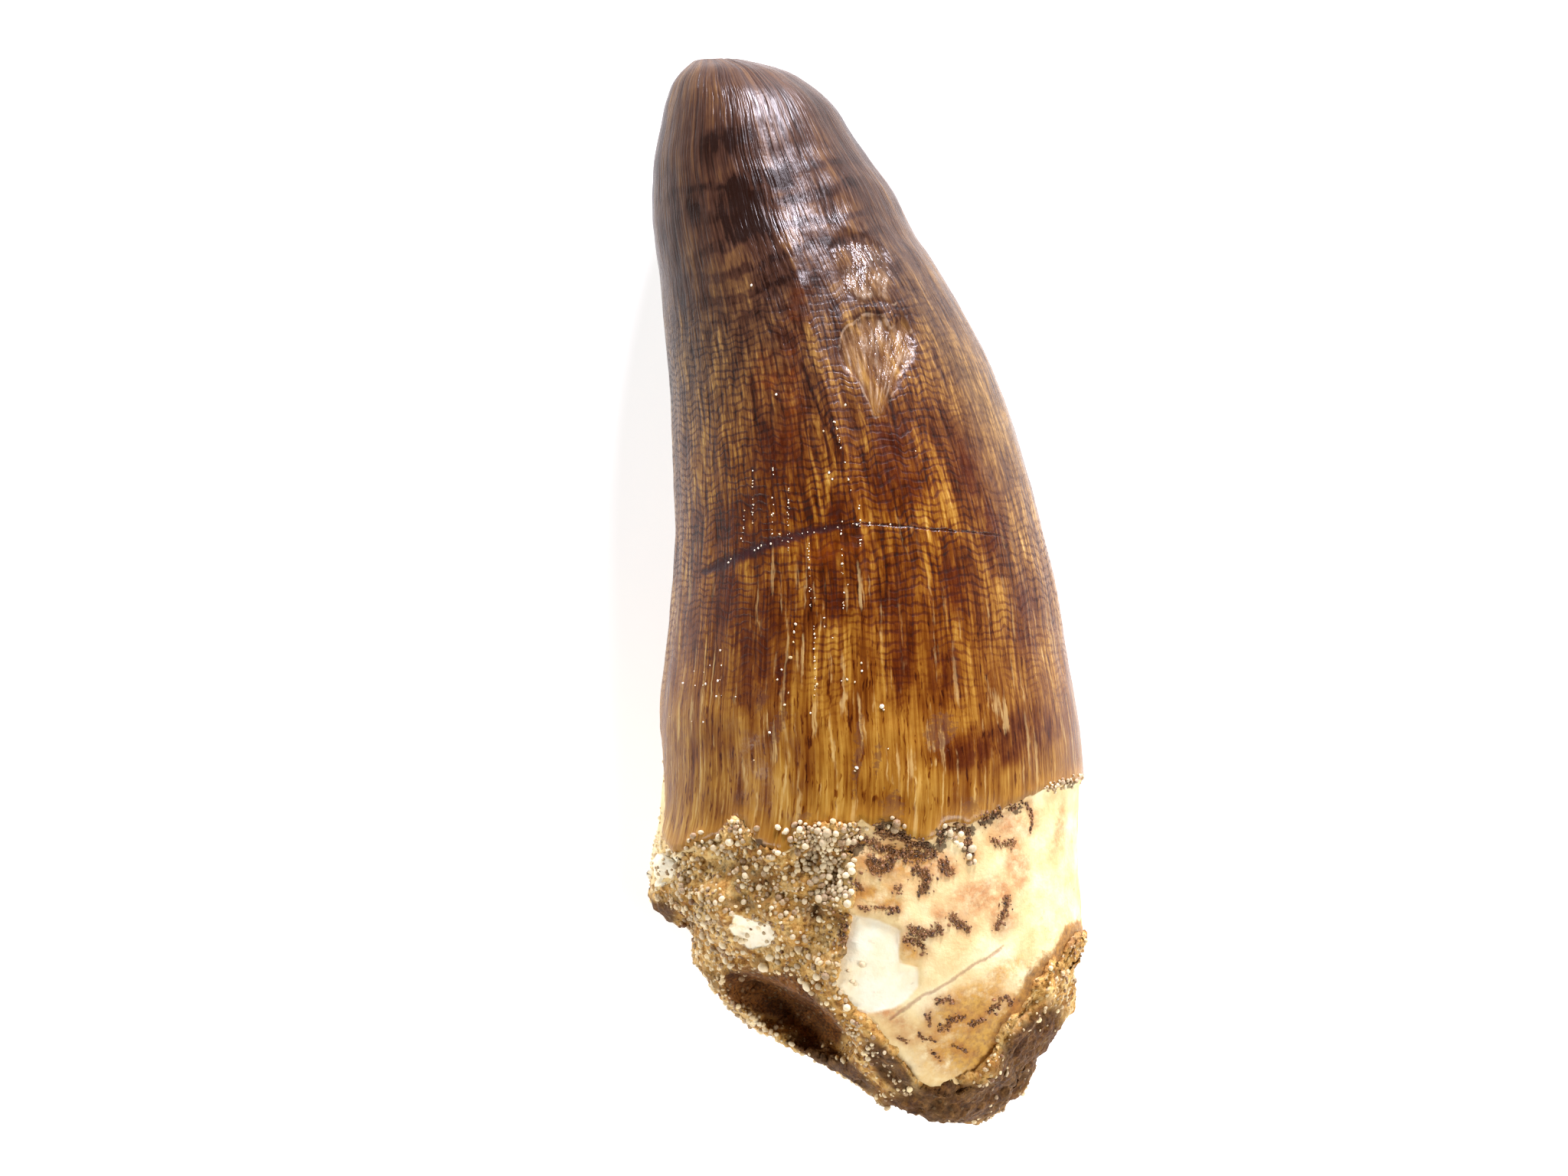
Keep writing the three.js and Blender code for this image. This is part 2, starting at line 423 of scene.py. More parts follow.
def lower(*spots):
    """The same for the lower face, which the label's own edge crosses."""
    turned = [(-across, y) for across, y in upper(*spots)]
    return [(s if s > -math.pi / 2 * ROUND else s + 2 * math.pi * ROUND, y) for s, y in turned]


def flank(*spots):
    return [(math.radians(degrees) * ROUND, y) for degrees, y in spots]


def band_above(edge):
    """The outline of all that lies above an edge that runs once round the tooth."""
    lap = 2 * math.pi * ROUND
    whole = [(s - lap, y) for s, y in edge[-5:-1]] + edge + [(s + lap, y) for s, y in edge[1:5]]
    return whole + [(whole[-1][0], 60.0), (whole[0][0], 60.0)]


ENAMEL_EDGE = [
    *flank((-90, -12.4)), *lower((4.0, -11.2), (7.5, -10.6)), *flank((-12, -9.2), (4, -8.5)),
    *upper((9.2, -8.75), (8.2, -8.95), (7.2, -9.3), (6.2, -9.75), (5.2, -10.15), (4.6, -10.5), (4.1, -10.3),
           (3.5, -10.35), (3.1, -10.9), (2.6, -11.15), (1.95, -10.95), (1.55, -10.6), (1.1, -10.25),
           (0.5, -10.3), (0.1, -10.5), (-0.3, -10.15), (-0.7, -10.45), (-1.4, -10.55), (-2.2, -10.45),
           (-2.8, -10.7), (-3.0, -11.1), (-3.4, -11.4), (-3.9, -11.62), (-4.5, -11.58), (-5.0, -11.3),
           (-5.4, -10.9), (-5.65, -10.4), (-5.95, -10.15), (-6.2, -10.5), (-6.6, -10.95), (-7.2, -11.2),
           (-8.0, -11.5), (-8.9, -11.9)),
    *flank((161, -11.2), (164, -9.2), (168, -7.2), (173, -5.6), (177, -4.5), (184, -3.7), (189, -4.1),
           (193, -5.6), (199, -6.3), (203, -8.1), (209, -9.4), (213, -11.0), (238, -12.2), (270, -12.4)),
]
PLATE_EDGE = [
    # the broken edge of the cream root plate, from its right end round its point to its left end
    (9.66, -15.93), (8.5, -17.6), (7.05, -19.39), (5.8, -21.29), (5.48, -21.86), (4.66, -22.43),
    (3.95, -22.79), (2.95, -22.68), (2.3, -22.43), (1.48, -21.29), (0.41, -20.2), (-0.6, -19.1),
    (-1.5, -18.1), (-1.65, -16.9), (-1.2, -16.1), (-0.95, -14.64),
]
WALL_EDGE = [
    *flank((-90, -16.5)), *lower((5.4, -19.2), (9.0, -17.2)), *flank((0, -15.9)),
    *upper(*PLATE_EDGE, (-0.9, -12.6), (-2.2, -11.9), (-3.9, -12.9), (-5.95, -11.6), (-7.2, -12.5),
           (-8.9, -13.1)),
    *flank((166, -13.7), (180, -14.1), (195, -14.0)), *lower((-7.6, -13.7), (-5.2, -15.4), (-1.5, -16.2)),
    *flank((270, -16.5)),
]
enamel_band, wall_band = band_above(ENAMEL_EDGE), band_above(WALL_EDGE)


def ragged(points, height, size, seed):
    """Random offsets that make a drawn edge uneven."""
    return height * (wave(points, size, seed) + 0.5 * wave(points, size * 0.4, seed + 1))


def enamel_share(points):
    """How far inside the enamel each unrolled point is, in mm."""
    return inside(enamel_band, points) + ragged(points, 0.07, 0.6, 3)


def wall_share(points):
    """How far each unrolled point is inside what is left of the crown and the root wall, in mm."""
    return inside(wall_band, points) + ragged(points, 0.1, 0.9, 7)


print(len(ENAMEL_EDGE), "points on the enamel's edge and", len(WALL_EDGE), "on the broken root's")

# %% [markdown]
# ## Wear and damage as relief
#
# The relief is how far the surface stands out from the smooth form, in millimetres, worked out for many
# points at once:
#
# * the crown has growth rings near its tip, square to its own curved axis, and low ribs along it;
# * a fold runs down the middle, and beside it two flakes of enamel have spalled off;
# * the root is lower than the enamel by the enamel's thickness, and has a fresh flake broken out of it;
# * where rock covers the crown's lower edge, the surface dips under it.

# %% Sizes of the relief
ENAMEL_THICKNESS = 0.22
COVERED_DEPTH = 0.75
FLAKES = [
    # outline seen from above, depth at its upper edge, y where it runs out, y of its upper edge
    ([(-1.3, 11.6), (-0.9, 12.3), (-0.1, 12.85), (0.9, 12.95), (1.1, 12.2), (1.75, 12.9), (2.1, 11.9),
      (2.1, 11.0), (1.6, 10.2), (1.25, 9.3), (0.85, 8.2), (0.35, 7.9), (0.0, 8.9), (-0.6, 9.9),
      (-1.25, 10.6)], 0.27, 7.4, 13.0),
    ([(-1.7, 15.8), (-1.0, 16.7), (0.1, 16.6), (0.9, 16.0), (1.2, 14.6), (1.35, 13.3), (0.6, 13.5),
      (-0.4, 13.4), (-1.1, 14.0)], 0.13, 13.4, 16.6),
]
FAN_AT = (0.15, 6.6)  # the flakes' ridges spread from here
MOUNDS = [
    # x, y, width, height
    (-3.3, 15.8, 0.55, 0.05), (-3.0, 14.2, 0.7, 0.09), (-3.1, 12.6, 0.5, 0.06), (-4.3, 16.9, 0.6, 0.05),
    (-2.9, 17.6, 0.6, 0.05), (-2.0, 6.4, 0.34, 0.07), (-1.35, 4.4, 0.24, 0.04), (-0.6, 1.95, 0.3, 0.06),
    (-0.95, 1.5, 0.2, 0.05), (-1.7, 7.3, 0.25, 0.04),
]
FRESH_BREAK = [
    (-1.2, -14.5), (0.5, -14.75), (1.5, -15.2), (1.5, -16.75), (2.35, -17.0), (2.4, -18.0), (1.2, -19.0),
    (0.2, -19.2), (-0.6, -19.4), (-2.2, -18.3), (-2.2, -16.2),
]
FOLD = [(16.5, -3.6), (12.0, -2.5), (9.0, -1.9), (6.0, -1.05), (3.0, -0.65), (0.0, -0.45), (-4.0, -0.4)]
FOLD_HEIGHT, FOLD_WIDTH = 0.09, 0.55
GUTTER_DEPTH, GUTTER_WIDTH, GUTTER_BESIDE = 0.9, 0.4, 0.75  # its depth is a share of the fold's height
RING_SIZE, RING_HEIGHT = 1.1, 0.055
RIB_SIZE, RIB_HEIGHT = 1.0, 0.028
CROWN_WAVES = ((0.07, 4.5, 13), (0.02, 0.7, 14))  # height, size, seed
ROOT_WAVES = ((0.06, 1.6, 17), (0.03, 0.5, 18))
FLAKE_LIP, FRESH_DEPTH = 0.04, 0.16
FAR = 9.0  # stands for a long way outside an outline


# %% Relief
def ring_height(points, height):
    """Height measured square to the tooth's own leaning axis, so that growth rings are its level lines."""
    middle_x = section(height)[0]
    lean = section(height + 0.5)[0] - section(height - 0.5)[0]
    return points[..., 1] + 0.65 * lean * (points[..., 0] - middle_x)


def along_grain(angle, rings):
    """Coordinates in which the grain of the enamel runs along the third axis."""
    radius = ROUND * (0.72 + 0.28 * ease(rings, 22.0, -4.0))
    return np.stack([radius * np.cos(angle), radius * np.sin(angle), rings], axis=-1)


def crown_pattern(points, grain, is_enamel):
    """Growth rings, ribs and a slow swell."""
    rings = grain[..., 2]
    ring_line = np.stack([rings, grain[..., 0] * 0.12, grain[..., 1] * 0.12], axis=-1)
    rings_show = ease(rings, 7.0, 13.0) * ease(rings, 24.0, 21.0) * (0.6 + 0.4 * wave(grain, 5.0, 5))
    out = RING_HEIGHT * rings_show * wave(ring_line, RING_SIZE, 11)
    out = out + RIB_HEIGHT * wave(grain * (1, 1, 0.09), RIB_SIZE, 12) * is_enamel
    for rise, size, seed in CROWN_WAVES:
        out = out + rise * wave(points, size, seed)
    return out


def fold(x, y, upper_face):
    """A low ridge with a gutter on its right."""
    beside = x - np.interp(-y, *zip(*[(-fold_y, fold_x) for fold_y, fold_x in FOLD]))
    gutter = GUTTER_DEPTH * np.exp(-(((beside - GUTTER_BESIDE) / GUTTER_WIDTH) ** 2))
    shows = upper_face * ease(y, 17.0, 13.0) * ease(y, -4.0, 0.0)
    return FOLD_HEIGHT * shows * (np.exp(-((beside / FOLD_WIDTH) ** 2)) - gutter)


def flaked(out, points, upper_face):
    """Takes the flakes off the relief, and tells how far inside a flake each point is."""
    x, y = points[..., 0], points[..., 1]
    chipped = np.full(x.shape, -FAR)
    fan = np.stack([np.arctan2(x - FAN_AT[0], y - FAN_AT[1]) * 4, y * 0.15], axis=-1)
    ridges = 0.035 * wave(fan, 0.3, 19) + 0.03 * wave(points, 1.2, 20)
    for outline, depth, start, end in FLAKES:
        within = inside(outline, points[..., :2]) + 0.1 * wave(points, 0.5, 15)
        chipped = np.where(upper_face > 0.5, np.maximum(chipped, within), chipped)
        slope = np.clip((y - start) / (end - start), 0, 1) ** 1.3
        out = out - (FLAKE_LIP + depth * slope + ridges) * ease(within, -0.03, 0.12) * upper_face
    return out, chipped


def under_rock(points, angle, enamel, margin):
    """1 where rock covers the crown's edge on the upper face, left of the root plate."""
    x, y = points[..., 0], points[..., 1]
    left_of_plate = ease(x, -0.7, -1.2) * ease(y, -13.6, -12.9) * ease(np.sin(angle), 0.2, 0.4)
    return ease(enamel, -0.05, -0.6) * ease(margin, 1.9, 1.2) * left_of_plate


def relief(angle, height):
    """How far the surface stands out from the smooth form, and the lengths that the finish needs."""
    points = bare_form(angle, height)
    flat = np.stack([angle * ROUND, height], axis=-1)
    x, y = points[..., 0], points[..., 1]
    upper_face = ease(np.sin(angle), 0.0, 0.35)
    grain = along_grain(angle, ring_height(points, height))
    enamel, margin = enamel_share(flat), wall_share(flat)
    is_enamel = ease(enamel, -0.16, 0.06)

    out = crown_pattern(points, grain, is_enamel) + fold(x, y, upper_face)
    out, chipped = flaked(out, points, upper_face)
    for mound_x, mound_y, width, rise in MOUNDS:
        out = out + rise * np.exp(-((np.hypot(x - mound_x, y - mound_y) / width) ** 2)) * upper_face

    fresh = inside(FRESH_BREAK, points[..., :2]) + 0.06 * wave(points, 0.6, 16)
    fresh = np.where(upper_face > 0.5, fresh, -FAR)
    root = -ENAMEL_THICKNESS - FRESH_DEPTH * ease(fresh, -0.05, 0.1)
    root = root - COVERED_DEPTH * under_rock(points, angle, enamel, margin)
    for rise, size, seed in ROOT_WAVES:
        root = root + rise * wave(points, size, seed)
    out = np.where(height > TIP, 0.4 * out, out) * is_enamel + root * (1 - is_enamel)
    return out, {"enamel": enamel, "chipped": chipped, "fresh": fresh, "margin": margin, "grain": grain}


def tooth_surface(angle, height):
    """The finished surface, resting on z = 0, and the lengths that the finish needs."""
    out, lengths = relief(angle, height)
    points = bare_form(angle, height) + outward(angle, height) * out[..., None]
    points[..., 2] = np.maximum(points[..., 2], 0.0)
    return points, lengths


print("the crown's top is at", tooth_surface(np.array([math.pi / 2]), np.array([0.0]))[0].round(2))

# %% [markdown]
# ## The tooth's mesh
#
# The mesh starts as a flat grid with a UV map, like a label again, and is rolled round the form. Its seam is
# closed on the underside and its last row at the tip. Then everything beyond the broken edge of the root is
# cut away, the cut edge is drawn onto its line, and it is given the root wall's thickness by extruding it
# inwards, in a few rough steps. A last step lifts the inner edge into the crown, where it is closed out of
# sight. So the whole tooth is one closed skin.
#
# Each vertex carries its own numbers: `label` is its angle and height, `grain` its place along the enamel's
# grain, `drift` the way out of the broken edge, and the plain lengths are distances to what is drawn.

# %% Roll the grid
AROUND, ROWS = 400, 236
PLAIN_LENGTHS = ("enamel", "chipped", "fresh", "margin", "broken")
VECTORS = ("label", "grain", "drift")


def layer(mesh, name):
    kinds = mesh.verts.layers
    return (kinds.float_vector if name in VECTORS else kinds.float)[name]


def set_vertices(mesh, verts, angle, height):
    """Puts vertices on the finished surface, and writes their numbers."""
    points, lengths = tooth_surface(angle, height)
    label, grain = layer(mesh, "label"), layer(mesh, "grain")
    plain = [(layer(mesh, name), lengths[name]) for name in PLAIN_LENGTHS if name in lengths]
    for i, vert in enumerate(verts):
        vert.co = points[i] * MM
        vert[label] = (angle[i], height[i], 0)
        vert[grain] = lengths["grain"][i]
        for kept, values in plain:
            vert[kept] = values[i]


def merged(mesh, verts):
    bmesh.ops.pointmerge(mesh, verts=verts, merge_co=sum((v.co for v in verts), Vector()) / len(verts))


def rolled_grid():
    """A grid wrapped round the tooth, closed along its seam and at its tip."""
    mesh = bmesh.new()
    mesh.loops.layers.uv.new("OFBake")
    for name in VECTORS:
        mesh.verts.layers.float_vector.new(name)
    for name in PLAIN_LENGTHS:
        mesh.verts.layers.float.new(name)
    bmesh.ops.create_grid(mesh, x_segments=AROUND, y_segments=ROWS, size=0.5, calc_uvs=True)
    flat = np.array([v.co for v in mesh.verts]) + 0.5
    angle = flat[:, 0] * 2 * math.pi - math.pi / 2
    set_vertices(mesh, mesh.verts, angle, ROOT_END + flat[:, 1] * (TIP + TIP_CAP - ROOT_END))
    label = layer(mesh, "label")
    seam = [v for v in mesh.verts if abs(abs(v[label][0] - math.pi / 2) - math.pi) < 1e-4]
    bmesh.ops.remove_doubles(mesh, verts=seam, dist=1e-7)
    merged(mesh, [v for v in mesh.verts if v[label][1] > TIP + TIP_CAP - 1e-4])
    return mesh


# %% Cut it along the broken edge
def onto_edge(flat, steps=4, nudge=0.02):
    """Slides unrolled points onto the broken edge, and gives the way out of the wall there."""
    for _ in range(steps):
        here = wall_share(flat)
        slope = [wall_share(flat + by) - wall_share(flat - by) for by in nudge * np.eye(2)]
        slope = np.stack(slope, axis=-1) / (2 * nudge)
        steep = np.maximum(np.sum(slope**2, axis=-1, keepdims=True), 0.2)
        flat = flat - np.clip(here[:, None] * slope / steep, -0.15, 0.15)
    return flat, -slope / np.linalg.norm(slope, axis=-1, keepdims=True)


def across_seam(face, label):
    angles = [v[label][0] for v in face.verts]
    return max(angles) - min(angles) > math.pi


def cut_open(mesh):
    """Cuts away what is beyond the broken edge. Faces across the seam are tested by their height alone."""
    label, drift = layer(mesh, "label"), layer(mesh, "drift")
    middles = np.array([np.mean([v[label][:2] for v in f.verts], axis=0) for f in mesh.faces])
    gone = [f for f, share in zip(mesh.faces, wall_share(middles * (ROUND, 1))) if share <= 0]
    gone += [f for f in mesh.faces if across_seam(f, label) and f.verts[0][label][1] < WALL_EDGE[0][1]]
    bmesh.ops.delete(mesh, geom=list(dict.fromkeys(gone)), context="FACES")
    rim = [e for e in mesh.edges if e.is_boundary]
    rim_verts = list(dict.fromkeys(v for e in rim for v in e.verts))
    flat, away = onto_edge(np.array([v[label][:2] for v in rim_verts]) * (ROUND, 1))
    set_vertices(mesh, rim_verts, flat[:, 0] / ROUND, flat[:, 1])
    for vert, direction in zip(rim_verts, away):
        vert[drift] = (*direction, 0)
    return rim, rim_verts


# %% Thicken the wall
BREAK_STEPS, WALL = 3, 1.6
BREAK_ROUGH, BREAK_GRAIN = 0.09, 0.35
CEILING, CEILING_SIZE = -9.9, 0.7


def extruded(mesh, edges):
    """Extrudes open edges, and gives the new vertices and the new open edges."""
    made = bmesh.ops.extrude_edge_only(mesh, edges=edges)["geom"]
    verts = [v for v in made if isinstance(v, bmesh.types.BMVert)]
    return verts, [e for e in made if isinstance(e, bmesh.types.BMEdge) and e.is_boundary]


def thicken(mesh, edges, rim_verts):
    """Extrudes the rim inwards as a rough broken face, then up into the crown, and closes it."""
    label, broken, drift = (layer(mesh, name) for name in ("label", "broken", "drift"))
    places = np.array([v[label][:2] for v in rim_verts])
    inward = {vert: -Vector(way) for vert, way in zip(rim_verts, outward(*places.T))}
    for step in range(BREAK_STEPS):
        verts, edges = extruded(mesh, edges)
        rough = wave(np.array([v.co for v in verts]) / MM, BREAK_GRAIN, 21 + step) * BREAK_ROUGH
        for vert, bump in zip(verts, rough):
            before = next(e.other_vert(vert) for e in vert.link_edges if e.other_vert(vert) in inward)
            inward[vert] = inward[before]
            vert.co = vert.co + (inward[vert] * (WALL / BREAK_STEPS) + Vector(vert[drift]) * bump) * MM
            vert[broken] = WALL * (step + 1) / BREAK_STEPS
    verts, edges = extruded(mesh, edges)
    middle_x, middle_z = (c.item() * MM for c in section(np.array([CEILING]))[:2])
    for vert in verts:
        x, _, z = vert.co
        x, z = middle_x + CEILING_SIZE * (x - middle_x), middle_z + CEILING_SIZE * (z - middle_z)
        vert.co = (x, CEILING * MM, z)
        vert[broken] = 2 * WALL
    merged(mesh, extruded(mesh, edges)[0])


def lay_out_break(mesh):
    """Gives the broken face its own room in the UV map, in the part of the label that was cut away."""
    uv = mesh.loops.layers.uv["OFBake"]
    label, broken, drift = (layer(mesh, name) for name in ("label", "broken", "drift"))
    for face in mesh.faces:
        if max(v[broken] for v in face.verts) <= 0:
            continue
        spots = []
        for loop in face.loops:
            vert = loop.vert
            spots.append((
                (vert[label][0] * ROUND + vert[drift][0] * vert[broken]) / ROUND / (2 * math.pi) + 0.25,
                (vert[label][1] + vert[drift][1] * vert[broken] - ROOT_END) / (TIP + TIP_CAP - ROOT_END),
            ))
        wraps = max(u for u, _ in spots) - min(u for u, _ in spots) > 0.5
        for loop, (u, v) in zip(face.loops, spots):
            loop[uv].uv = (u + 1 if wraps and u < 0.5 else u, v)


def as_object(mesh, name):
    """Writes a bmesh as an object, with its faces turned outwards."""
    bmesh.ops.recalc_face_normals(mesh, faces=mesh.faces)
    if mesh.calc_volume(signed=True) < 0:
        bmesh.ops.reverse_faces(mesh, faces=mesh.faces)
    data = bpy.data.meshes.new(name)
    mesh.to_mesh(data)
    data.shade_smooth()
    made = bpy.data.objects.new(name, data)
    bpy.context.collection.objects.link(made)
    open_edges = sum(e.is_boundary or not e.is_manifold for e in mesh.edges)
    triangles = sum(len(f.verts) - 2 for f in mesh.faces)
    print(name, "has", triangles, "triangles and", open_edges, "open edges")
    return made


tooth_skin = rolled_grid()
thicken(tooth_skin, *cut_open(tooth_skin))
lay_out_break(tooth_skin)
tooth = as_object(tooth_skin, "enamel_and_root")
tooth_tree = BVHTree.FromBMesh(tooth_skin)

# %% [markdown]
# ## Marks on the surface
#
# Stains, chips and cracks are drawn in the same way for the tooth and the rock: by where they are, seen from
# above. A stain is a soft oval, and a crack is a line through a few points. Each becomes a number that every
# vertex carries, and the finish turns that number into colour, with noise to make its edge ragged.

# %% Ovals and lines, seen from above
def ovals(points, spots):
    """1 in the middle of the nearest oval, and 0 outside all of them. Each is x, y, long, short, turn."""
    cover = np.zeros(len(points))
    for x, y, long, short, turn in spots:
        cos, sin = math.cos(math.radians(turn)), math.sin(math.radians(turn))
        dx, dy = points[:, 0] - x, points[:, 1] - y
        reach = np.hypot((dx * cos + dy * sin) / long, (dy * cos - dx * sin) / short)
        cover = np.maximum(cover, ease(reach, 1.5, 0.3))
    return cover


def off_line(points, line):
    """How far each point is from a drawn line, seen from above, below 0 on its right-hand side; and how far
    the nearest place on the line is from the line's ends."""
    nearest, to_end = np.full(len(points), 99.0), np.zeros(len(points))
    lengths = [math.dist(a, b) for a, b in zip(line, line[1:])]
    done = 0.0
    for (ax, ay), (bx, by), length in zip(line, line[1:], lengths):
        dx, dy, px, py = bx - ax, by - ay, points[:, 0] - ax, points[:, 1] - ay
        along = np.clip((px * dx + py * dy) / length**2, 0, 1)
        away = np.hypot(px - along * dx, py - along * dy)
        closer = away < np.abs(nearest)
        nearest = np.where(closer, np.sign(dx * py - dy * px) * away, nearest)
        reached = done + along * length
        to_end = np.where(closer, np.minimum(reached, sum(lengths) - reached), to_end)
        done += length
    return nearest, to_end


# %% Stains and cracks of the tooth
PELLET_SHADE_OVALS = [
    # ovals of painted shade between and under the pellets, on tooth and rock: x, y, half length, half width,
    # turn in degrees
    (-5.8, -10.5, 0.35, 0.3, 0), (-5.0, -11.35, 0.4, 0.25, -30), (-1.1, -10.8, 0.5, 0.3, 20),
    (-0.4, -11.6, 0.5, 0.3, 30), (0.7, -10.5, 0.4, 0.3, 0), (1.7, -11.1, 0.5, 0.22, -30),
    (2.6, -11.4, 0.5, 0.22, -20), (3.2, -11.4, 0.25, 0.45, 0), (3.3, -10.8, 0.3, 0.3, 0),
    (4.6, -10.7, 0.25, 0.3, 0), (4.4, -11.6, 0.35, 0.25, 0), (5.5, -10.25, 0.6, 0.16, 20),
    (6.9, -9.85, 0.35, 0.2, 30), (8.6, -8.85, 0.5, 0.18, 20), (9.3, -8.7, 0.4, 0.2, 0),
]
TOOTH_STAINS = {
    # ovals, as before
    "dark": [
        (-4.0, 6.3, 1.7, 1.2, 90), (-5.3, 3.3, 1.9, 1.4, 30), (1.05, 7.2, 1.5, 0.9, 90),
        (1.3, 4.9, 1.4, 1.2, 0), (-1.5, 0.3, 1.6, 0.8, 90), (1.05, -0.1, 1.4, 1.0, 90),
        (-6.4, -0.4, 1.7, 0.8, 90), (-4.3, -0.7, 1.4, 1.0, 90), (4.6, 5.5, 2.2, 0.6, 105),
        (5.8, 3.0, 2.0, 0.7, 95), (4.0, 0.3, 1.8, 0.9, 90), (7.3, -1.0, 2.2, 0.6, 90),
        (-5.2, -2.7, 2.6, 0.8, 90), (-3.9, -3.9, 1.6, 0.5, 90), (1.6, -2.7, 2.2, 0.8, 90),
        (3.4, -3.4, 1.4, 0.8, 90), (5.8, -7.0, 1.9, 0.9, 0), (7.7, -6.1, 1.2, 1.0, 0),
        (-5.6, 18.7, 1.3, 0.8, 10), (-6.5, 21.2, 1.2, 0.6, 15), (-4.2, 19.2, 0.9, 0.5, 0),
        (1.4, 15.1, 0.5, 0.35, 90), (-3.7, 11.7, 0.7, 0.5, 0), (-5.4, 17.1, 1.5, 0.9, 0),
        (-4.6, 14.6, 1.4, 0.6, 90), (4.4, -7.2, 1.8, 0.8, 0), (-1.4, 3.6, 1.2, 0.6, 90),
    ],
    "dirt": [
        (-4.0, -6.1, 1.0, 0.35, 75), (-0.45, -7.1, 2.0, 0.3, 87), (-4.9, -5.0, 0.6, 0.3, 80),
        (3.3, -6.2, 1.2, 0.9, 70), (0.4, -7.5, 1.0, 0.25, 85), (-2.9, -10.1, 0.5, 0.3, 0),
        (1.1, -9.9, 1.2, 0.7, 90), (4.6, -9.6, 0.5, 0.5, 0),
    ],
    "amber": [
        (-3.4, 9.2, 3.2, 0.6, 95), (-1.9, 2.1, 1.8, 0.9, 0), (-3.0, 13.0, 1.6, 0.6, 95),
        (-4.6, 10.0, 1.5, 0.6, 90),
    ],
    "orange": [
        (0.1, -13.5, 1.5, 0.5, 15), (1.3, -12.1, 2.4, 0.8, 0), (1.9, -16.2, 0.6, 0.6, 0),
        (5.0, -18.3, 1.6, 0.9, 20), (4.6, -20.5, 2.6, 1.9, 20), (0.95, -18.1, 0.5, 0.3, 0),
        (0.9, -13.9, 0.8, 0.35, 0), (6.2, -17.2, 1.3, 0.5, 25),
    ],
    "pink": [
        (4.8, -13.6, 1.2, 0.6, 20), (6.0, -13.5, 0.5, 0.7, 0), (3.2, -14.35, 0.4, 0.4, 0),
        (5.9, -14.4, 0.5, 0.4, 0), (5.5, -13.8, 1.7, 0.9, 30), (6.8, -12.6, 1.5, 0.6, 90),
        (6.7, -10.4, 1.2, 0.5, 10), (3.4, -12.5, 0.6, 0.5, 0), (8.9, -10.9, 1.4, 0.4, 80),
        (6.3, -15.0, 0.7, 0.5, 0), (1.0, -19.0, 1.6, 0.5, -45),
    ],
    "ochre": [(5.2, -20.6, 1.7, 1.2, 30), (4.4, -19.0, 1.2, 0.6, 10), (6.9, -19.0, 1.0, 0.6, 50)],
    "grime": PELLET_SHADE_OVALS,
}
CRUSTED = [
    (9.2, -16.4, 1.4, 0.6, 60), (8.0, -17.8, 1.7, 0.8, 52), (6.9, -19.4, 1.6, 0.7, 55),
    (6.0, -20.9, 1.2, 0.45, 60),
]
CRACK_FADE = 0.6  # millimetres over which a crack dies out at its ends
GLOBE_CRACK = [
    (-7.98, 0.82), (-6.84, 1.25), (-4.88, 2.11), (-2.77, 2.75), (-0.52, 3.21), (1.34, 3.07), (3.59, 2.89),
    (6.6, 2.6),
]
CRACKS = {
    "globe_crack": GLOBE_CRACK,
    "fold_crack": [(-3.2, 11.1), (-2.05, 8.0), (-1.05, 6.3), (-0.65, 3.2), (-0.5, 1.7), (-0.3, -1.5)],
    "root_crack": [(6.57, -15.74), (5.61, -16.49), (4.79, -16.9), (3.56, -17.72), (2.47, -18.27),
                   (1.24, -19.16), (0.56, -19.63)],
    "scarp": [(-0.81, -14.5), (0.4, -14.85), (1.38, -15.26), (2.4, -15.5), (3.6, -15.75)],
}
HALO_WIDTH = 0.22
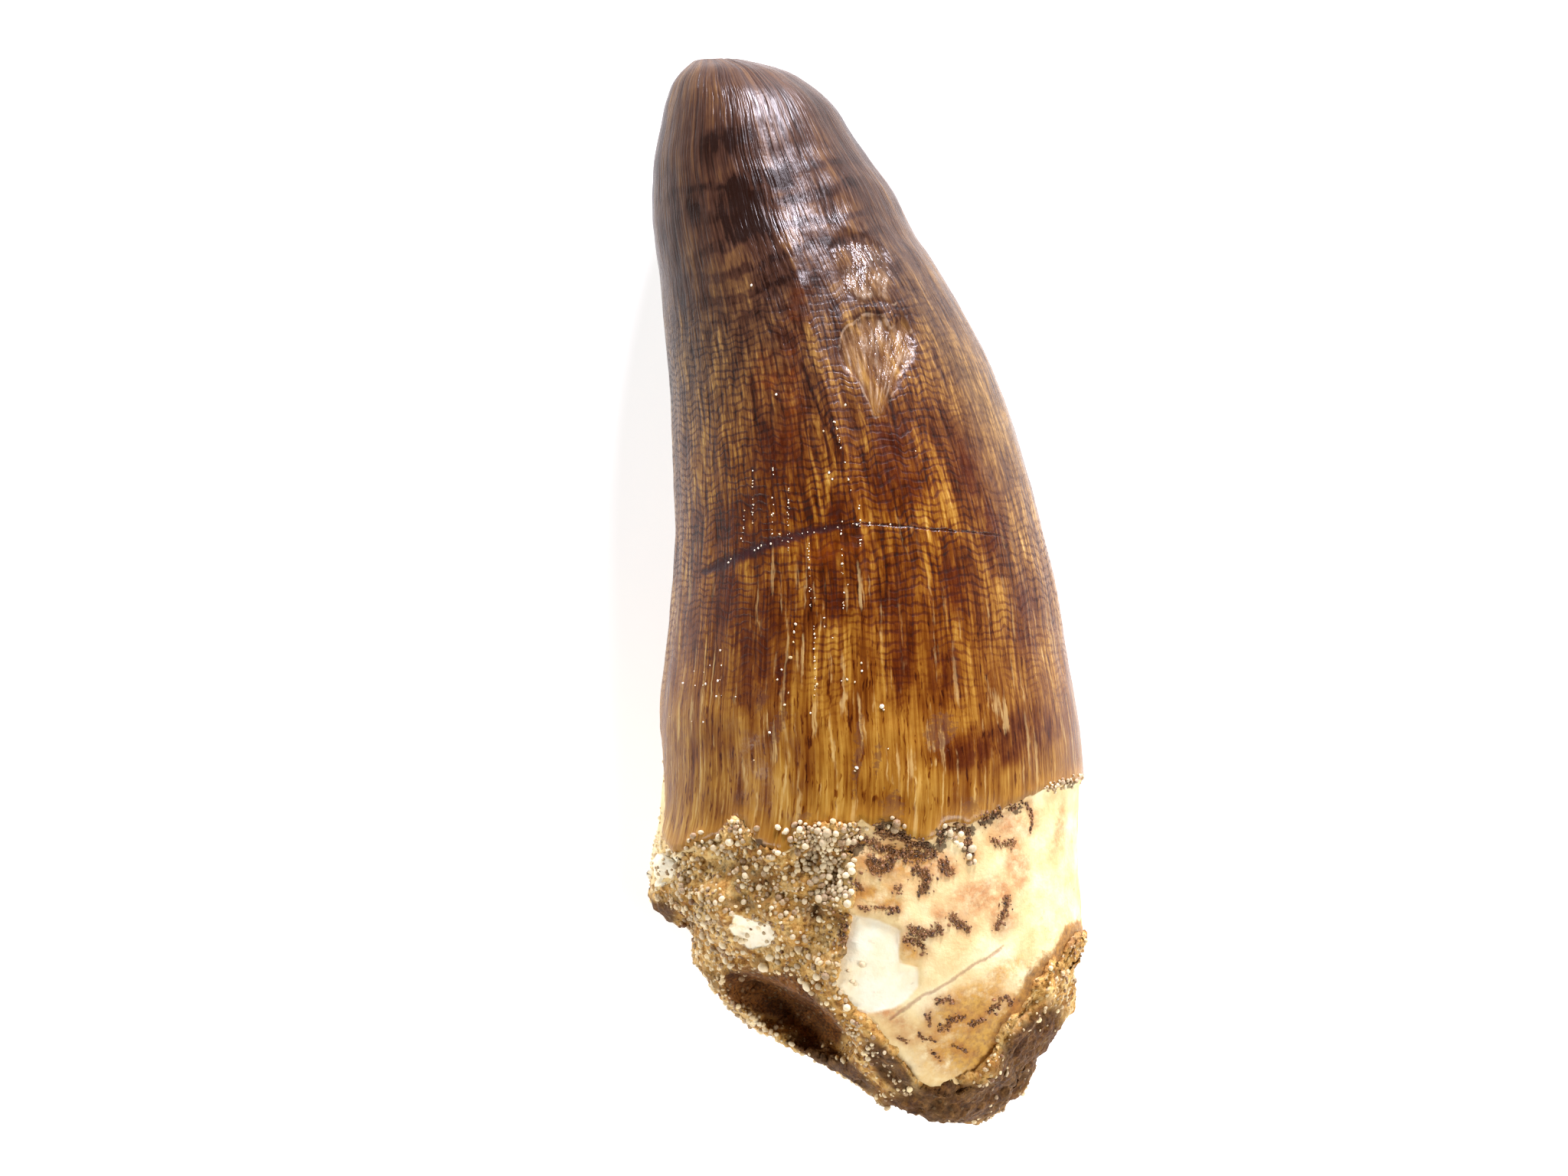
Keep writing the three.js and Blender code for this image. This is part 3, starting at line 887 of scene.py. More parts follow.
MINERAL_TRAILS = [
    # lines of tiny dark crystals: width, then the points
    (0.2, [(0.42, -10.48), (0.69, -10.89), (1.51, -10.89), (1.92, -11.3), (2.47, -11.3), (3.02, -11.84)]),
    (0.15, [(3.22, -11.16), (3.43, -10.68), (4.11, -10.61), (4.52, -10.68), (4.66, -11.84)]),
    (0.16, [(5.14, -10.34), (5.48, -10.07), (6.02, -9.93)]),
    (0.1, [(6.3, -9.83), (6.71, -9.73), (7.0, -9.6)]),
    (0.06, [(7.25, -9.59), (7.53, -10.0), (7.5, -10.6), (7.39, -10.89)]),
    (0.13, [(5.68, -11.16), (6.16, -11.43), (6.71, -11.3)]),
    (0.2, [(2.06, -12.53), (2.61, -12.6), (2.68, -12.94), (2.47, -13.48)]),
    (0.2, [(3.43, -12.12), (3.7, -12.66)]), (0.2, [(-1.08, -11.57), (-0.26, -11.16), (0.42, -11.3)]),
    (0.14, [(0.5, -11.6), (0.9, -11.5), (1.24, -11.71)]),
    (0.2, [(1.1, -12.0), (1.6, -11.8), (1.92, -11.91), (2.61, -11.84)]),
    (0.1, [(0.2, -11.9), (0.7, -12.2)]), (0.22, [(0.01, -12.12), (0.42, -12.53), (0.97, -12.32)]),
    (0.12, [(0.42, -14.24), (1.38, -14.3)]),
    (0.18, [(1.92, -15.12), (2.47, -15.4), (3.15, -15.33), (3.29, -15.06)]),
    (0.18, [(3.77, -14.58), (4.11, -14.99), (4.52, -15.26)]),
    (0.16, [(5.89, -15.26), (6.16, -14.58), (6.37, -13.89)]), (0.14, [(1.24, -13.42), (1.45, -13.28)]),
    (0.14, [(-0.81, -12.94), (-0.26, -13.35)]), (0.1, [(-0.4, -14.24), (0.01, -14.24)]),
    (0.12, [(3.1, -18.55), (3.6, -18.4), (3.95, -18.6)]), (0.1, [(2.75, -19.0), (2.8, -19.5)]),
    (0.13, [(3.7, -19.45), (4.4, -19.3)]), (0.1, [(3.2, -19.85), (3.75, -19.75)]),
    (0.06, [(3.9, -20.6), (4.6, -21.0)]), (0.09, [(2.3, -20.0), (2.5, -20.3), (3.0, -20.3)]),
    (0.14, [(4.7, -19.7), (5.3, -19.4)]), (0.05, [(2.9, -20.9), (3.3, -21.3)]),
    (0.14, [(5.6, -19.1), (6.0, -18.75)]), (0.12, [(6.1, -18.5), (6.5, -18.5), (6.6, -18.8)]),
    (0.07, [(1.38, -20.18), (1.79, -20.39)]), (0.13, [(1.65, -15.67), (2.33, -15.81), (2.54, -16.22)]),
    (0.13, [(-1.05, -14.5), (-1.15, -15.4), (-1.15, -16.1)]),
]


def uneven(points, size, strength, seed):
    """Shifts points a little, so that what is drawn at them wavers."""
    shift = [wave(points, size, seed + k) for k in range(2)]
    return points[:, :2] + strength * np.stack(shift, axis=-1)


def add_attribute(thing, name, values):
    layer = thing.data.attributes.new(name, "FLOAT", "POINT")
    layer.data.foreach_set("value", np.asarray(values, np.float32))


def vertices_mm(thing):
    flat = np.empty(3 * len(thing.data.vertices), np.float32)
    thing.data.vertices.foreach_get("co", flat)
    return flat.reshape(-1, 3).astype(float) / MM


tooth_at = vertices_mm(tooth)
middle_height = section(tooth_at[:, 1])[1]
facing_up = ease(tooth_at[:, 2], middle_height, middle_height + 1.5)
loose, fine = uneven(tooth_at, 1.2, 0.2, 31), uneven(tooth_at, 0.5, 0.05, 35)
for name, spots in TOOTH_STAINS.items():
    add_attribute(tooth, name, ovals(loose, spots) * facing_up)
add_attribute(tooth, "crusted", ovals(loose, CRUSTED))
for name, line in CRACKS.items():
    off, to_end = off_line(fine, line)
    add_attribute(tooth, name, off)
    add_attribute(tooth, name + "_shows", ease(to_end, 0.0, CRACK_FADE) * facing_up)
trails = [(np.abs(off_line(fine, line)[0]), width) for width, line in MINERAL_TRAILS]
nearest_trail = np.min([off / width for off, width in trails], axis=0)
halo = np.max([np.exp(-((off / (width + HALO_WIDTH)) ** 2)) for off, width in trails], axis=0)
add_attribute(tooth, "halo", halo * facing_up)
add_attribute(tooth, "mineral", np.where(facing_up > 0.5, np.clip(1.6 - nearest_trail, 0, 1), 0.0))
print(len(tooth.data.attributes), "layers of numbers on the tooth")

# %% [markdown]
# ## The finish of enamel and root
#
# Fossil enamel is a thin glassy skin over brown dentine. Its colour comes from minerals taken up along the
# ribs and in a net of hair cracks, so nearly all of its pattern runs along the crown: dark and pale streaks,
# crossed by the net. One number, `tone`, is built up from all of these, and a gradient turns it into brown.
# Towards the tip the enamel is darker, and towards the root it is the colour of honey. Along both edges
# and towards the tip a grey blend is painted sheen: the pale surroundings mirrored in the glossy enamel.
#
# `rings` is the height square to the crown's own axis, so it stands for the distance from the root.

# %% Streaks, net and bands of the enamel
RINGS_START, RINGS_END = -12, 26
ENAMEL_LEVELS = [
    # rings, and how pale the enamel is there
    (-12, 0.59), (-8.96, 0.54), (-5.54, 0.48), (-1.36, 0.44), (3.96, 0.41), (8.9, 0.4), (13.08, 0.31),
    (16.88, 0.23), (20.68, 0.17), (24.1, 0.22),
]
WEFT_FINENESS, WARP_FINENESS = 17.0, 14.0  # radians a millimetre
NET_DEPTH = 0.28


def stretched(skin, vector, along, size, detail, rough, twist=0.0):
    """Noise drawn out along the grain. The smaller along is, the longer its streaks."""
    return skin.noise(skin.scaled(vector, (1, 1, along)), size, detail, rough, twist)


def threads(skin, see):
    """Lines of growth across the crown and lines along its ribs, crossing like the threads of a cloth."""
    rings, grain, patch = see["rings"], see["grain"], see["patch"]
    around = grain.channel("X").math("ARCTAN2", grain.channel("Y")) * ROUND
    sway = stretched(skin, grain, 0.5, 1.5, 3, 0.55) - 0.5
    lean = stretched(skin, grain, 0.12, 0.9, 2, 0.5) - 0.5
    weft = ((rings + sway * 1.5) * WEFT_FINENESS).math("SINE").ramp(0.0, 0.95) * patch.ramp(0.32, 0.55)
    warp = ((around + lean * 1.6) * WARP_FINENESS).math("SINE").ramp(0.1, 1.0)
    shows = rings.ramp(17, 11) * see["ragged_rings"].ramp(-7, 1) * (1 - see["right_side"] * 0.7)
    return (weft * 0.6 + warp * 0.5) * shows * skin.attribute("chipped").ramp(0.05, -0.05)


def drawn(skin, name, wavering):
    """How far a point is from a drawn line, and far everywhere when the line has ended."""
    return skin.attribute(name).math("ABSOLUTE") + wavering + (1 - skin.attribute(name + "_shows")) * 0.5


def look_at_enamel(skin):
    """The noises, places and lines that colour, gloss and relief share, by name."""
    place, grain = skin.place(), skin.attribute("grain", out="Vector")
    rings, side = grain.channel("Z"), grain.channel("X")
    see = {"place": place, "grain": grain, "rings": rings, "side": side}
    see["broad"] = stretched(skin, grain, 0.18, 1.1, 3, 0.55)
    see["column"] = stretched(skin, grain, 0.10, 0.36, 3, 0.6, 0.3)
    see["hair"] = stretched(skin, grain, 0.05, 0.13, 2, 0.5)
    see["cloud"], see["patch"] = skin.noise(place, 2.2, 4, 0.6), skin.noise(place, 0.8, 4, 0.65)
    see["ragged_rings"] = rings + (see["broad"] - 0.5) * 14 + (see["column"] - 0.5) * 6
    see["right_side"] = side.ramp(3.5, 7.0) * rings.ramp(1.0, 6.0)
    see["net"] = threads(skin, see)
    x = place.channel("X")
    see["x"], see["chip"] = x, skin.attribute("chipped")
    globe_width = 0.06 + x.ramp(0.0, -3.5) * x.ramp(-8.5, -6.5) * 0.22
    see["globe"] = drawn(skin, "globe_crack", (see["patch"] - 0.5) * 0.3).ramp(globe_width * 1.4, 0.0)
    streaky = 0.5 + (see["column"] - 0.5) * 3.5 + (see["patch"] - 0.5) * 1.6 + (see["broad"] - 0.5) * 2.0
    see["dark"] = skin.attribute("dark") * streaky.clamp()
    see["amber"] = skin.attribute("amber") * (0.5 + (see["patch"] - 0.5) * 2.5).clamp()
    see["near_root"] = see["ragged_rings"].ramp(4, -5)
    bent = skin.node("VectorMath", {"operation": "MULTIPLY_ADD"},
                     {0: skin.noise(place, 0.6, 2, out="Color"), 1: (0.2, 0.2, 0.2), 2: grain})
    see["dash"] = stretched(skin, bent, 0.14, 0.12, 1, 0.5).ramp(0.6, 0.72)
    see["thread"] = stretched(skin, bent, 0.08, 0.3, 2, 0.5).ramp(0.58, 0.7)
    fan = {0: (x - FAN_AT[0]).math("ARCTAN2", place.channel("Y") - FAN_AT[1]) * 4}
    fan[1] = (place.channel("Y") - FAN_AT[1]) * 0.12
    see["ridge"] = skin.noise(skin.node("CombineXYZ", {}, fan), 0.22, 3, 0.6)
    return see


def enamel_tone(skin, see):
    """How pale the enamel is, from 0 to 1."""
    rings, side, near_root = see["rings"], see["side"], see["near_root"]
    span = RINGS_END - RINGS_START
    levels = [((at - RINGS_START) / span, tone) for at, tone in ENAMEL_LEVELS]
    tone = skin.gradient((rings - RINGS_START) * (1 / span), *levels)
    calm = near_root * 0.5 + rings.ramp(12, 17) * 0.45 + see["right_side"] * 0.35
    tone = tone + (see["broad"] - 0.5) * 0.55 + (see["column"] - 0.5) * (0.95 - calm)
    tone = tone + (see["hair"] - 0.5) * 0.6 + (see["cloud"] - 0.5) * 0.35
    # painted light: the right side of the upper crown a little paler, where the lamp on the right falls
    tone = tone + side.ramp(2.5, 8.5) * rings.ramp(18, 11) * 0.04
    tone = tone - side.ramp(1.5, 4.0) * rings.ramp(-2.5, -5.0) * rings.ramp(-11.5, -9.5) * 0.08
    tone = tone - see["dash"] * near_root * 0.22 + see["thread"] * 0.08
    bands = ((rings * 5.0 + see["cloud"] * 9.0).math("SINE")).ramp(-0.2, 1.1) * see["column"].ramp(0.3, 0.6)
    bands = bands * rings.ramp(11, 15) * rings.ramp(21.5, 19) * side.math("ABSOLUTE").ramp(7.0, 3.0)
    tone = tone - bands * 0.2 - see["dark"] * (0.34 + rings.ramp(16, 18) * 0.25) - see["amber"] * 0.03
    fold_crack = drawn(skin, "fold_crack", (see["patch"] - 0.5) * 0.3).ramp(0.16, 0.0)
    return (tone - see["net"] * NET_DEPTH - see["globe"] * 0.3 - fold_crack * 0.16).clamp()


# %% Colours of the enamel
ENAMEL_BROWNS = [
    (0.0, 38, 13, 3), (0.2, 72, 29, 5), (0.36, 106, 56, 12), (0.5, 137, 89, 27), (0.64, 164, 119, 46),
    (0.82, 194, 156, 84), (1.0, 224, 196, 146),
]
# greys of the painted sheen, read along the enamel's tone
PAINTED_SHEEN_GREYS = [
    (0.0, 30, 14, 8), (0.2, 64, 42, 31), (0.4, 98, 71, 44), (0.6, 148, 114, 66), (0.8, 190, 160, 104),
    (1.0, 222, 198, 158),
]


def enamel_colour(skin, see):
    rings, side, patch, amber = (see[name] for name in ("rings", "side", "patch", "amber"))
    tone = enamel_tone(skin, see)
    pale_thread = see["thread"] * see["near_root"] * see["hair"].ramp(0.35, 0.5)
    # painted sheen: grey along both edges, less on the left, and towards the tip, where the pale room is
    # mirrored
    painted_sheen = side.math("ABSOLUTE").ramp(3.5, 8.5) * (0.3 + rings.ramp(-4, 6) * 0.5)
    painted_sheen = painted_sheen * (1 - side.ramp(-3.5, -6.5) * 0.65)
    chipped = see["chip"].ramp(-0.04, 0.35) * rings.ramp(16.0, 13.0) * (0.15 + patch.ramp(0.4, 0.6) * 0.35)
    # painted highlight: a pale line along the flakes' rims
    chip_rim_highlight = see["chip"].math("ABSOLUTE").ramp(0.08, 0.02) * patch.ramp(0.45, 0.6) * rings.ramp(14.5, 13.0)
    soil = (skin.attribute("dirt") + (skin.noise(see["place"], 0.2, 3, 0.6) - 0.5) * 2.2).ramp(0.55, 0.95)
    lip = skin.attribute("enamel").ramp(1.1, 0.0) * (0.35 + see["column"] * 0.7)
    colour = skin.stained(
        skin.gradient(tone, *ENAMEL_BROWNS), tone,
        (amber * 0.45, (128, 56, 5)),
        (pale_thread * 0.55, (200, 172, 116)),
        ((painted_sheen + rings.ramp(3, 14) * 0.85) * (1 - amber * 0.6), *PAINTED_SHEEN_GREYS),
        (see["dark"] * rings.ramp(14, 8) * 0.35, (84, 30, 10)),
        (see["globe"] * see["x"].ramp(0.5, -3.0) * 0.75, (54, 30, 32)),
    )
    # the flakes' faces: their own paler grey, and a painted highlight on the ridges that fan out over them
    flake_face_and_highlight = skin.gradient(see["ridge"], (0.36, 84, 58, 36), (0.5, 136, 106, 74), (0.64, 206, 186, 160))
    colour = skin.stained(
        skin.blend(chipped, colour, flake_face_and_highlight), tone,
        (chip_rim_highlight * 0.3, (206, 180, 150)),
        (soil * 0.55, (84, 42, 18)),
        (lip * 0.65, (178, 126, 50)),
    )
    return colour, soil


# %% [markdown]
# The root is white, chalky dentine with iron stains. Dark mineral sits on it in trails. The same number that
# cuts the enamel's edge into the mesh divides the two finishes.

# %% Colours of the root
def root_colour(skin, see):
    """The root's colour, and the height of its relief."""
    place = see["place"]
    chalk, fleck = skin.noise(place, 1.6, 5, 0.6), see["fleck"]
    fresh = skin.attribute("fresh").ramp(-0.05, 0.12)
    mottle = (skin.noise(place, 0.7, 5, 0.7) - 0.5) * 3.2 + (fleck - 0.5) * 1.4 + 0.75
    low_side, stained = place.channel("Z").ramp(11, 7), 1 - fresh * 0.9
    spotty = mottle.clamp() * stained
    striae = stretched(skin, see["grain"], 0.12, 0.4, 3, 0.6).ramp(0.5, 0.7) * (0.12 + low_side * 0.25)
    blotch = skin.noise(place, 1.5, 5, 0.65).ramp(0.52, 0.64) * (0.12 + low_side * 0.88) * stained
    broken_rim = skin.attribute("margin").ramp(1.1, 0.1) * low_side * 0.8
    split = drawn(skin, "root_crack", (fleck - 0.5) * 0.16).ramp(0.12, 0.0)
    trail = (skin.attribute("mineral") + (fleck - 0.5) * 2.4).ramp(0.6, 0.95)
    bone = skin.gradient(chalk, (0.3, 226, 190, 132), (0.5, 240, 216, 162), (0.7, 248, 232, 190))
    bone = skin.blend(striae, bone, (214, 176, 118))
    bone = skin.blend(fresh * 0.95, bone, skin.gradient(chalk, (0.35, 255, 240, 206), (0.6, 255, 252, 232)))
    bone = skin.stained(
        bone, fleck,
        (blotch * (0.4 + low_side * 0.3), (0.3, 164, 106, 48), (0.6, 214, 168, 104)),
        (skin.attribute("orange") * spotty * 0.85, (0.3, 164, 100, 26), (0.7, 212, 156, 62)),
        (skin.attribute("pink") * spotty * 0.85, (0.3, 160, 94, 44), (0.7, 210, 148, 94)),
        ((skin.attribute("ochre") + (mottle - 0.75) * 0.3).ramp(0.1, 0.7) * 0.8,
         (0.3, 146, 92, 28), (0.6, 206, 158, 72)),
        ((skin.attribute("crusted") + broken_rim + (mottle - 0.75) * 0.5).ramp(0.15, 0.75) * 0.9,
         (0.3, 96, 54, 14), (0.7, 176, 122, 50)),
        # painted shade: a tan-grey band along the step above the fresh break, the shade of the step's face
        (drawn(skin, "scarp", (fleck - 0.5) * 0.1).ramp(0.35, 0.05) * 0.3, (170, 140, 104)),
        (split * 0.55, (150, 92, 74)),
        (skin.attribute("halo") * (mottle + 0.2).clamp() * 0.6, (176, 108, 44)),
        (trail * 0.8, (110, 64, 30)),
        (skin.attribute("broken").ramp(0.02, 0.3) * 0.4, (214, 180, 128)),
    )
    return bone, chalk * 0.8 + fleck * 0.35 - split * 0.4 + trail * 0.5


# %% Put enamel and root together
def enamel_and_root():
    skin = Finish("enamel_and_root")
    see = look_at_enamel(skin)
    see["fleck"] = fleck = skin.noise(see["place"], 0.25, 3, 0.6)
    is_enamel = (skin.attribute("enamel") + (fleck - 0.5) * 0.06).ramp(-0.1, 0.0)
    bone, root_height = root_colour(skin, see)
    enamel, soil = enamel_colour(skin, see)
    # painted shade, between and under the pellets that lie on the enamel's edge
    grime = (skin.attribute("grime") + (fleck - 0.5) * 2.0).ramp(0.4, 0.7)
    colour = skin.blend(grime * 0.8, skin.blend(is_enamel, bone, enamel), (62, 44, 26))

    chipped = see["chip"].ramp(-0.04, 0.35)
    dull = 0.62 + (fleck - 0.5) * 0.3
    gloss = 0.26 + (see["hair"] - 0.5) * 0.3 + soil * 0.4 + see["net"] * 0.2 - chipped * 0.12 + grime * 0.3
    rough = dull + is_enamel * (gloss - dull)
    ribbed = see["rings"].ramp(6, 14) * 0.6 + see["chip"].ramp(-0.1, 0.2) * 0.5 + 0.3
    height = (see["column"] * 0.5 + see["hair"] * 0.35 + see["broad"] * 0.4) * ribbed
    height = height - see["net"] * 0.12 - see["globe"] * 0.25 + chipped * see["ridge"] * 0.8
    height = root_height + is_enamel * (height - root_height)
    normal = skin.bump(height, 0.1, under=skin.bump(see["cloud"], 0.05))
    return skin.surface(colour, rough.clamp(), normal, Specular_IOR_Level=0.22)


tooth.data.materials.append(enamel_and_root())
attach(tooth, "root")
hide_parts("tooth")
print("enamel finish has", len(tooth.data.materials[0].node_tree.nodes), "nodes")

# %% [markdown]
# ## The rock
#
# The rock is phosphate sand: rounded grains and pellets set in a tan cement. It filled the root while the
# tooth lay on the sea floor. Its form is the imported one, with a roll of cement along the broken edge of the
# root and under the crown's edge, so that no gap is left, and laid again as a fine even skin. Close to the
# tooth the skin is pushed out, so that it touches enamel and root as cement does. Everywhere it is roughened
# by rounded grains of several sizes. In the hollow, where the pulp was, it is smoother and dark.

# %% Places on the rock
SEEN_TOOTH = [
    # all of the tooth that no rock covers, seen from above
    (12, -15.6), *PLATE_EDGE, (-0.8, -11.9), (-2.2, -10.6), (-3.9, -11.7), (-5.0, -11.3), (-5.95, -10.3),
    (-7.2, -11.3), (-8.9, -12.0), (-12, -12.5), (-12, 30), (12, 30),
]
HOLLOW = [
    (-6.85, -17.87), (-6.43, -17.3), (-4.31, -17.2), (-3.18, -17.16), (-2.05, -18.5), (-1.21, -19.28),
    (-0.7, -20.4), (-1.1, -21.2), (-2.4, -21.1), (-3.82, -20.3), (-4.9, -19.9), (-6.43, -19.14),
]
ISLAND = [
    (-6.14, -14.58), (-5.59, -14.71), (-4.5, -15.12), (-4.16, -15.67), (-4.5, -15.94), (-5.32, -16.22),
    (-5.87, -15.81), (-6.28, -15.26),
]
# the flank's pale cream is partly bare bone and partly painted light, for the flank lit from behind
FLANK_BONE_AND_BACKLIGHT = [  # bare bone, like the island
    (-10.6, -9.8), (-8.8, -10.0), (-8.6, -12.0), (-8.9, -13.2), (-10.0, -13.9), (-11.2, -12.8)]
ROCK_STAINS = {
    # ovals, as on the tooth
    # dark: partly the rock's own dark spots and pits, partly painted shade between and under the pellets
    "dark": [
        (-5.87, -12.66, 1.4, 0.3, -8), (-4.5, -13.2, 0.6, 0.3, 0), (-2.18, -14.3, 1.0, 0.5, -20),
        (-5.46, -14.0, 1.2, 0.35, -5), (-4.77, -16.83, 0.35, 0.25, 0), (-2.2, -11.6, 1.3, 1.0, -30),
        (-1.3, -12.9, 0.9, 1.0, 0), (-6.2, -17.7, 1.0, 0.45, -20), (-1.5, -14.6, 0.6, 0.5, 0),
        (-8.9, -14.2, 0.5, 0.4, 0), (-7.2, -18.0, 0.8, 0.4, -50), (-1.0, -16.3, 0.9, 0.3, 90), *PELLET_SHADE_OVALS,
    ],
    # brown: the rock's own dark brown, and painted shade on the low rock under the end of the root plate
    "brown": [
        (-1.6, -21.8, 2.6, 0.6, -30), (-10.0, -15.2, 1.0, 1.3, 90), (3.9, -23.6, 3.6, 1.4, 0),
        (7.6, -21.2, 2.6, 1.4, 60), (1.0, -21.7, 1.8, 0.7, -50), (6.8, -22.6, 1.2, 0.9, 0),
    ],
    # pale: paler cement, and a painted highlight on the rock's left side
    "pale": [
        (-5.3, -15.4, 1.4, 0.8, -25), (-6.0, -19.7, 1.4, 0.35, -45), (-7.4, -15.0, 0.9, 0.7, 0),
        (-8.6, -12.8, 1.2, 0.5, 95),
    ],
}

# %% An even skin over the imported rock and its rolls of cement
SKIN_STEP = 0.135
ROLL_WIDTH, ROLL_OUT, ROLL_TRIM = 0.8, 0.5, 0.15
ROLL_DROPS = [
    # y, how deep the roll of cement lies under the root's surface: on the right of the plate, and elsewhere
    (-23.2, 1.25, 1.2), (-22.3, 1.05, 1.1), (-21.5, 0.8, 1.0), (-20.5, 0.6, 0.95), (-18.0, 0.6, 0.95),
    (-15.5, 1.0, 0.95),
]
RIM_WIDTH, RIM_DROP = 0.42, 0.5
LUMPS = [(6.5, -22.9, 6.0, 1.2), (6.1, -23.1, 4.5, 1.2), (5.2, -23.6, 5.0, 1.0)]  # x, y, z, radius


def stations_between(corners, count):
    """Unrolled places along a drawn edge, as angles and heights."""
    corners = np.array(corners)
    steps = np.linspace(0, 1, count + 1)[:-1, None]
    return np.concatenate([a + (b - a) * steps for a, b in zip(corners, corners[1:])])


def roll_at_break():
    """The middle line of the roll along the broken edge: a little beyond it, and under the root's surface."""
    flat, away = onto_edge(stations_between(WALL_EDGE, 6))
    angle, height = flat[:, 0] / ROUND, flat[:, 1]
    step_x, step_y = 0.1 * away.T
    beyond = bare_form(angle + step_x / ROUND, height + step_y) - bare_form(angle, height)
    beyond = beyond / np.linalg.norm(beyond, axis=-1, keepdims=True)
    edge = tooth_surface(angle, height)[0]
    drop = np.where(edge[:, 0] > 3.5, *curve(ROLL_DROPS, height))
    out = ROLL_OUT - ROLL_TRIM * ease(edge[:, 0], 7.5, 9.0) * ease(height, -20.5, -19.0)
    return edge + beyond * out[:, None] - outward(angle, height) * drop[:, None]


def roll_under_crown():
    ends = 0.9 * math.pi * ROUND, upper((0.3, -10.4))[0][0]
    flat = stations_between([spot for spot in ENAMEL_EDGE if ends[0] > spot[0] > ends[1]], 4) - (0, RIM_WIDTH)
    angle, height = flat[:, 0] / ROUND, flat[:, 1]
    return bare_form(angle, height) - outward(angle, height) * RIM_DROP


def cement_rolls():
    rolls = bpy.data.curves.new("cement_rolls", "CURVE")
    rolls.dimensions, rolls.bevel_depth, rolls.bevel_resolution, rolls.use_fill_caps = "3D", MM, 4, True
    parts = (roll_at_break(), ROLL_WIDTH, True), (roll_under_crown(), RIM_WIDTH, False)
    for middle, width, closed in parts:
        line = rolls.splines.new("POLY")
        line.points.add(len(middle) - 1)
        line.points.foreach_set("co", np.c_[middle * MM, np.ones(len(middle))].ravel())
        line.points.foreach_set("radius", np.full(len(middle), width))
        line.use_cyclic_u = closed
    holder = bpy.data.objects.new("cement_rolls", rolls)
    shape = bpy.data.meshes.new_from_object(holder)
    bpy.data.objects.remove(holder)
    return shape


def rock_skin():
    mesh = bmesh.new()
    mesh.from_mesh(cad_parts["matrix"].data)
    bmesh.ops.remove_doubles(mesh, verts=mesh.verts, dist=1e-6)
    mesh.from_mesh(cement_rolls())
    for *place, radius in LUMPS:
        at = Matrix.Translation(Vector(place) * MM)
        bmesh.ops.create_icosphere(mesh, subdivisions=3, radius=radius * MM, matrix=at)
    start = as_object(mesh, "rock")
    remesh = start.modifiers.new("even skin", "REMESH")
    remesh.mode, remesh.voxel_size = "VOXEL", SKIN_STEP * MM
    smooth = start.modifiers.new("soften", "SMOOTH")
    smooth.factor, smooth.iterations = 0.5, 4
    shown = start.evaluated_get(bpy.context.evaluated_depsgraph_get())
    mesh = bmesh.new()
    mesh.from_mesh(shown.to_mesh())
    bpy.data.objects.remove(start)
    return mesh


# %% Roughen the skin
GRIP, GRIP_REACH = 0.36, 1.1
CEMENT_SLOPE = 0.45
TRIM = [
    # y, and how much comes off the rock's left side
    (-18.0, 0.0), (-16.6, 0.2), (-15.3, 0.75), (-14.6, 0.3), (-12.0, 0.2), (-11.0, 0.0),
]
WAVES = ((0.26, 1.7, 41), (0.14, 0.75, 42), (0.06, 0.3, 43))  # height, size, seed
GRAINS = ((0.34, 0.62, 1.0), (0.3, 0.34, 5.0))  # height, size, seed
PIT_DEPTH, GRAINS_SINK = 0.32, 0.08


def pebbles(points, size, seed):
    """The height of rounded grains about size across, packed at random, at each point."""
    scaled = points / size
    cell = np.floor(scaled)
    best = np.full(len(points), 9.0)
    for step in itertools.product((-1, 0, 1), repeat=3):
        corner = cell + step
        jitter = [np.modf(np.sin(corner @ HASH + seed + 19.7 * k) * HASH_SCALE)[0] % 1 for k in range(3)]
        centre = corner + 0.15 + 0.7 * np.stack(jitter, axis=-1)
        best = np.minimum(best, np.sum((scaled - centre) ** 2, axis=-1))
    return size * np.sqrt(np.maximum(0.45 - best, 0.0))


def lift(points, normals, near):
    """Cement stands level with the tooth along its broken edge, and falls away from it."""
    middle_x, middle_z, half_width, half_thick = section(points[:, 1])
    across = np.clip((points[:, 0] - middle_x) / half_width, -1, 1)
    tooth_top = middle_z + half_thick * np.sqrt(1 - across**2) - ENAMEL_THICKNESS
    beyond = np.maximum(-inside(SEEN_TOOTH, points[:, :2]), 0)
    level = tooth_top - 0.1 - CEMENT_SLOPE * beyond**1.3
    faces_up = np.maximum(ease(normals[:, 2], 0.0, 0.3), ease(near, 0.9, 0.45)) * (points[:, 2] > middle_z)
    not_hollow = ease(inside(HOLLOW, points[:, :2]), -0.1, -0.9)
    rise = np.maximum(level - points[:, 2], 0) * ease(beyond, 0.0, 0.1) * ease(beyond, 3.0, 1.2)
    return rise * faces_up * not_hollow


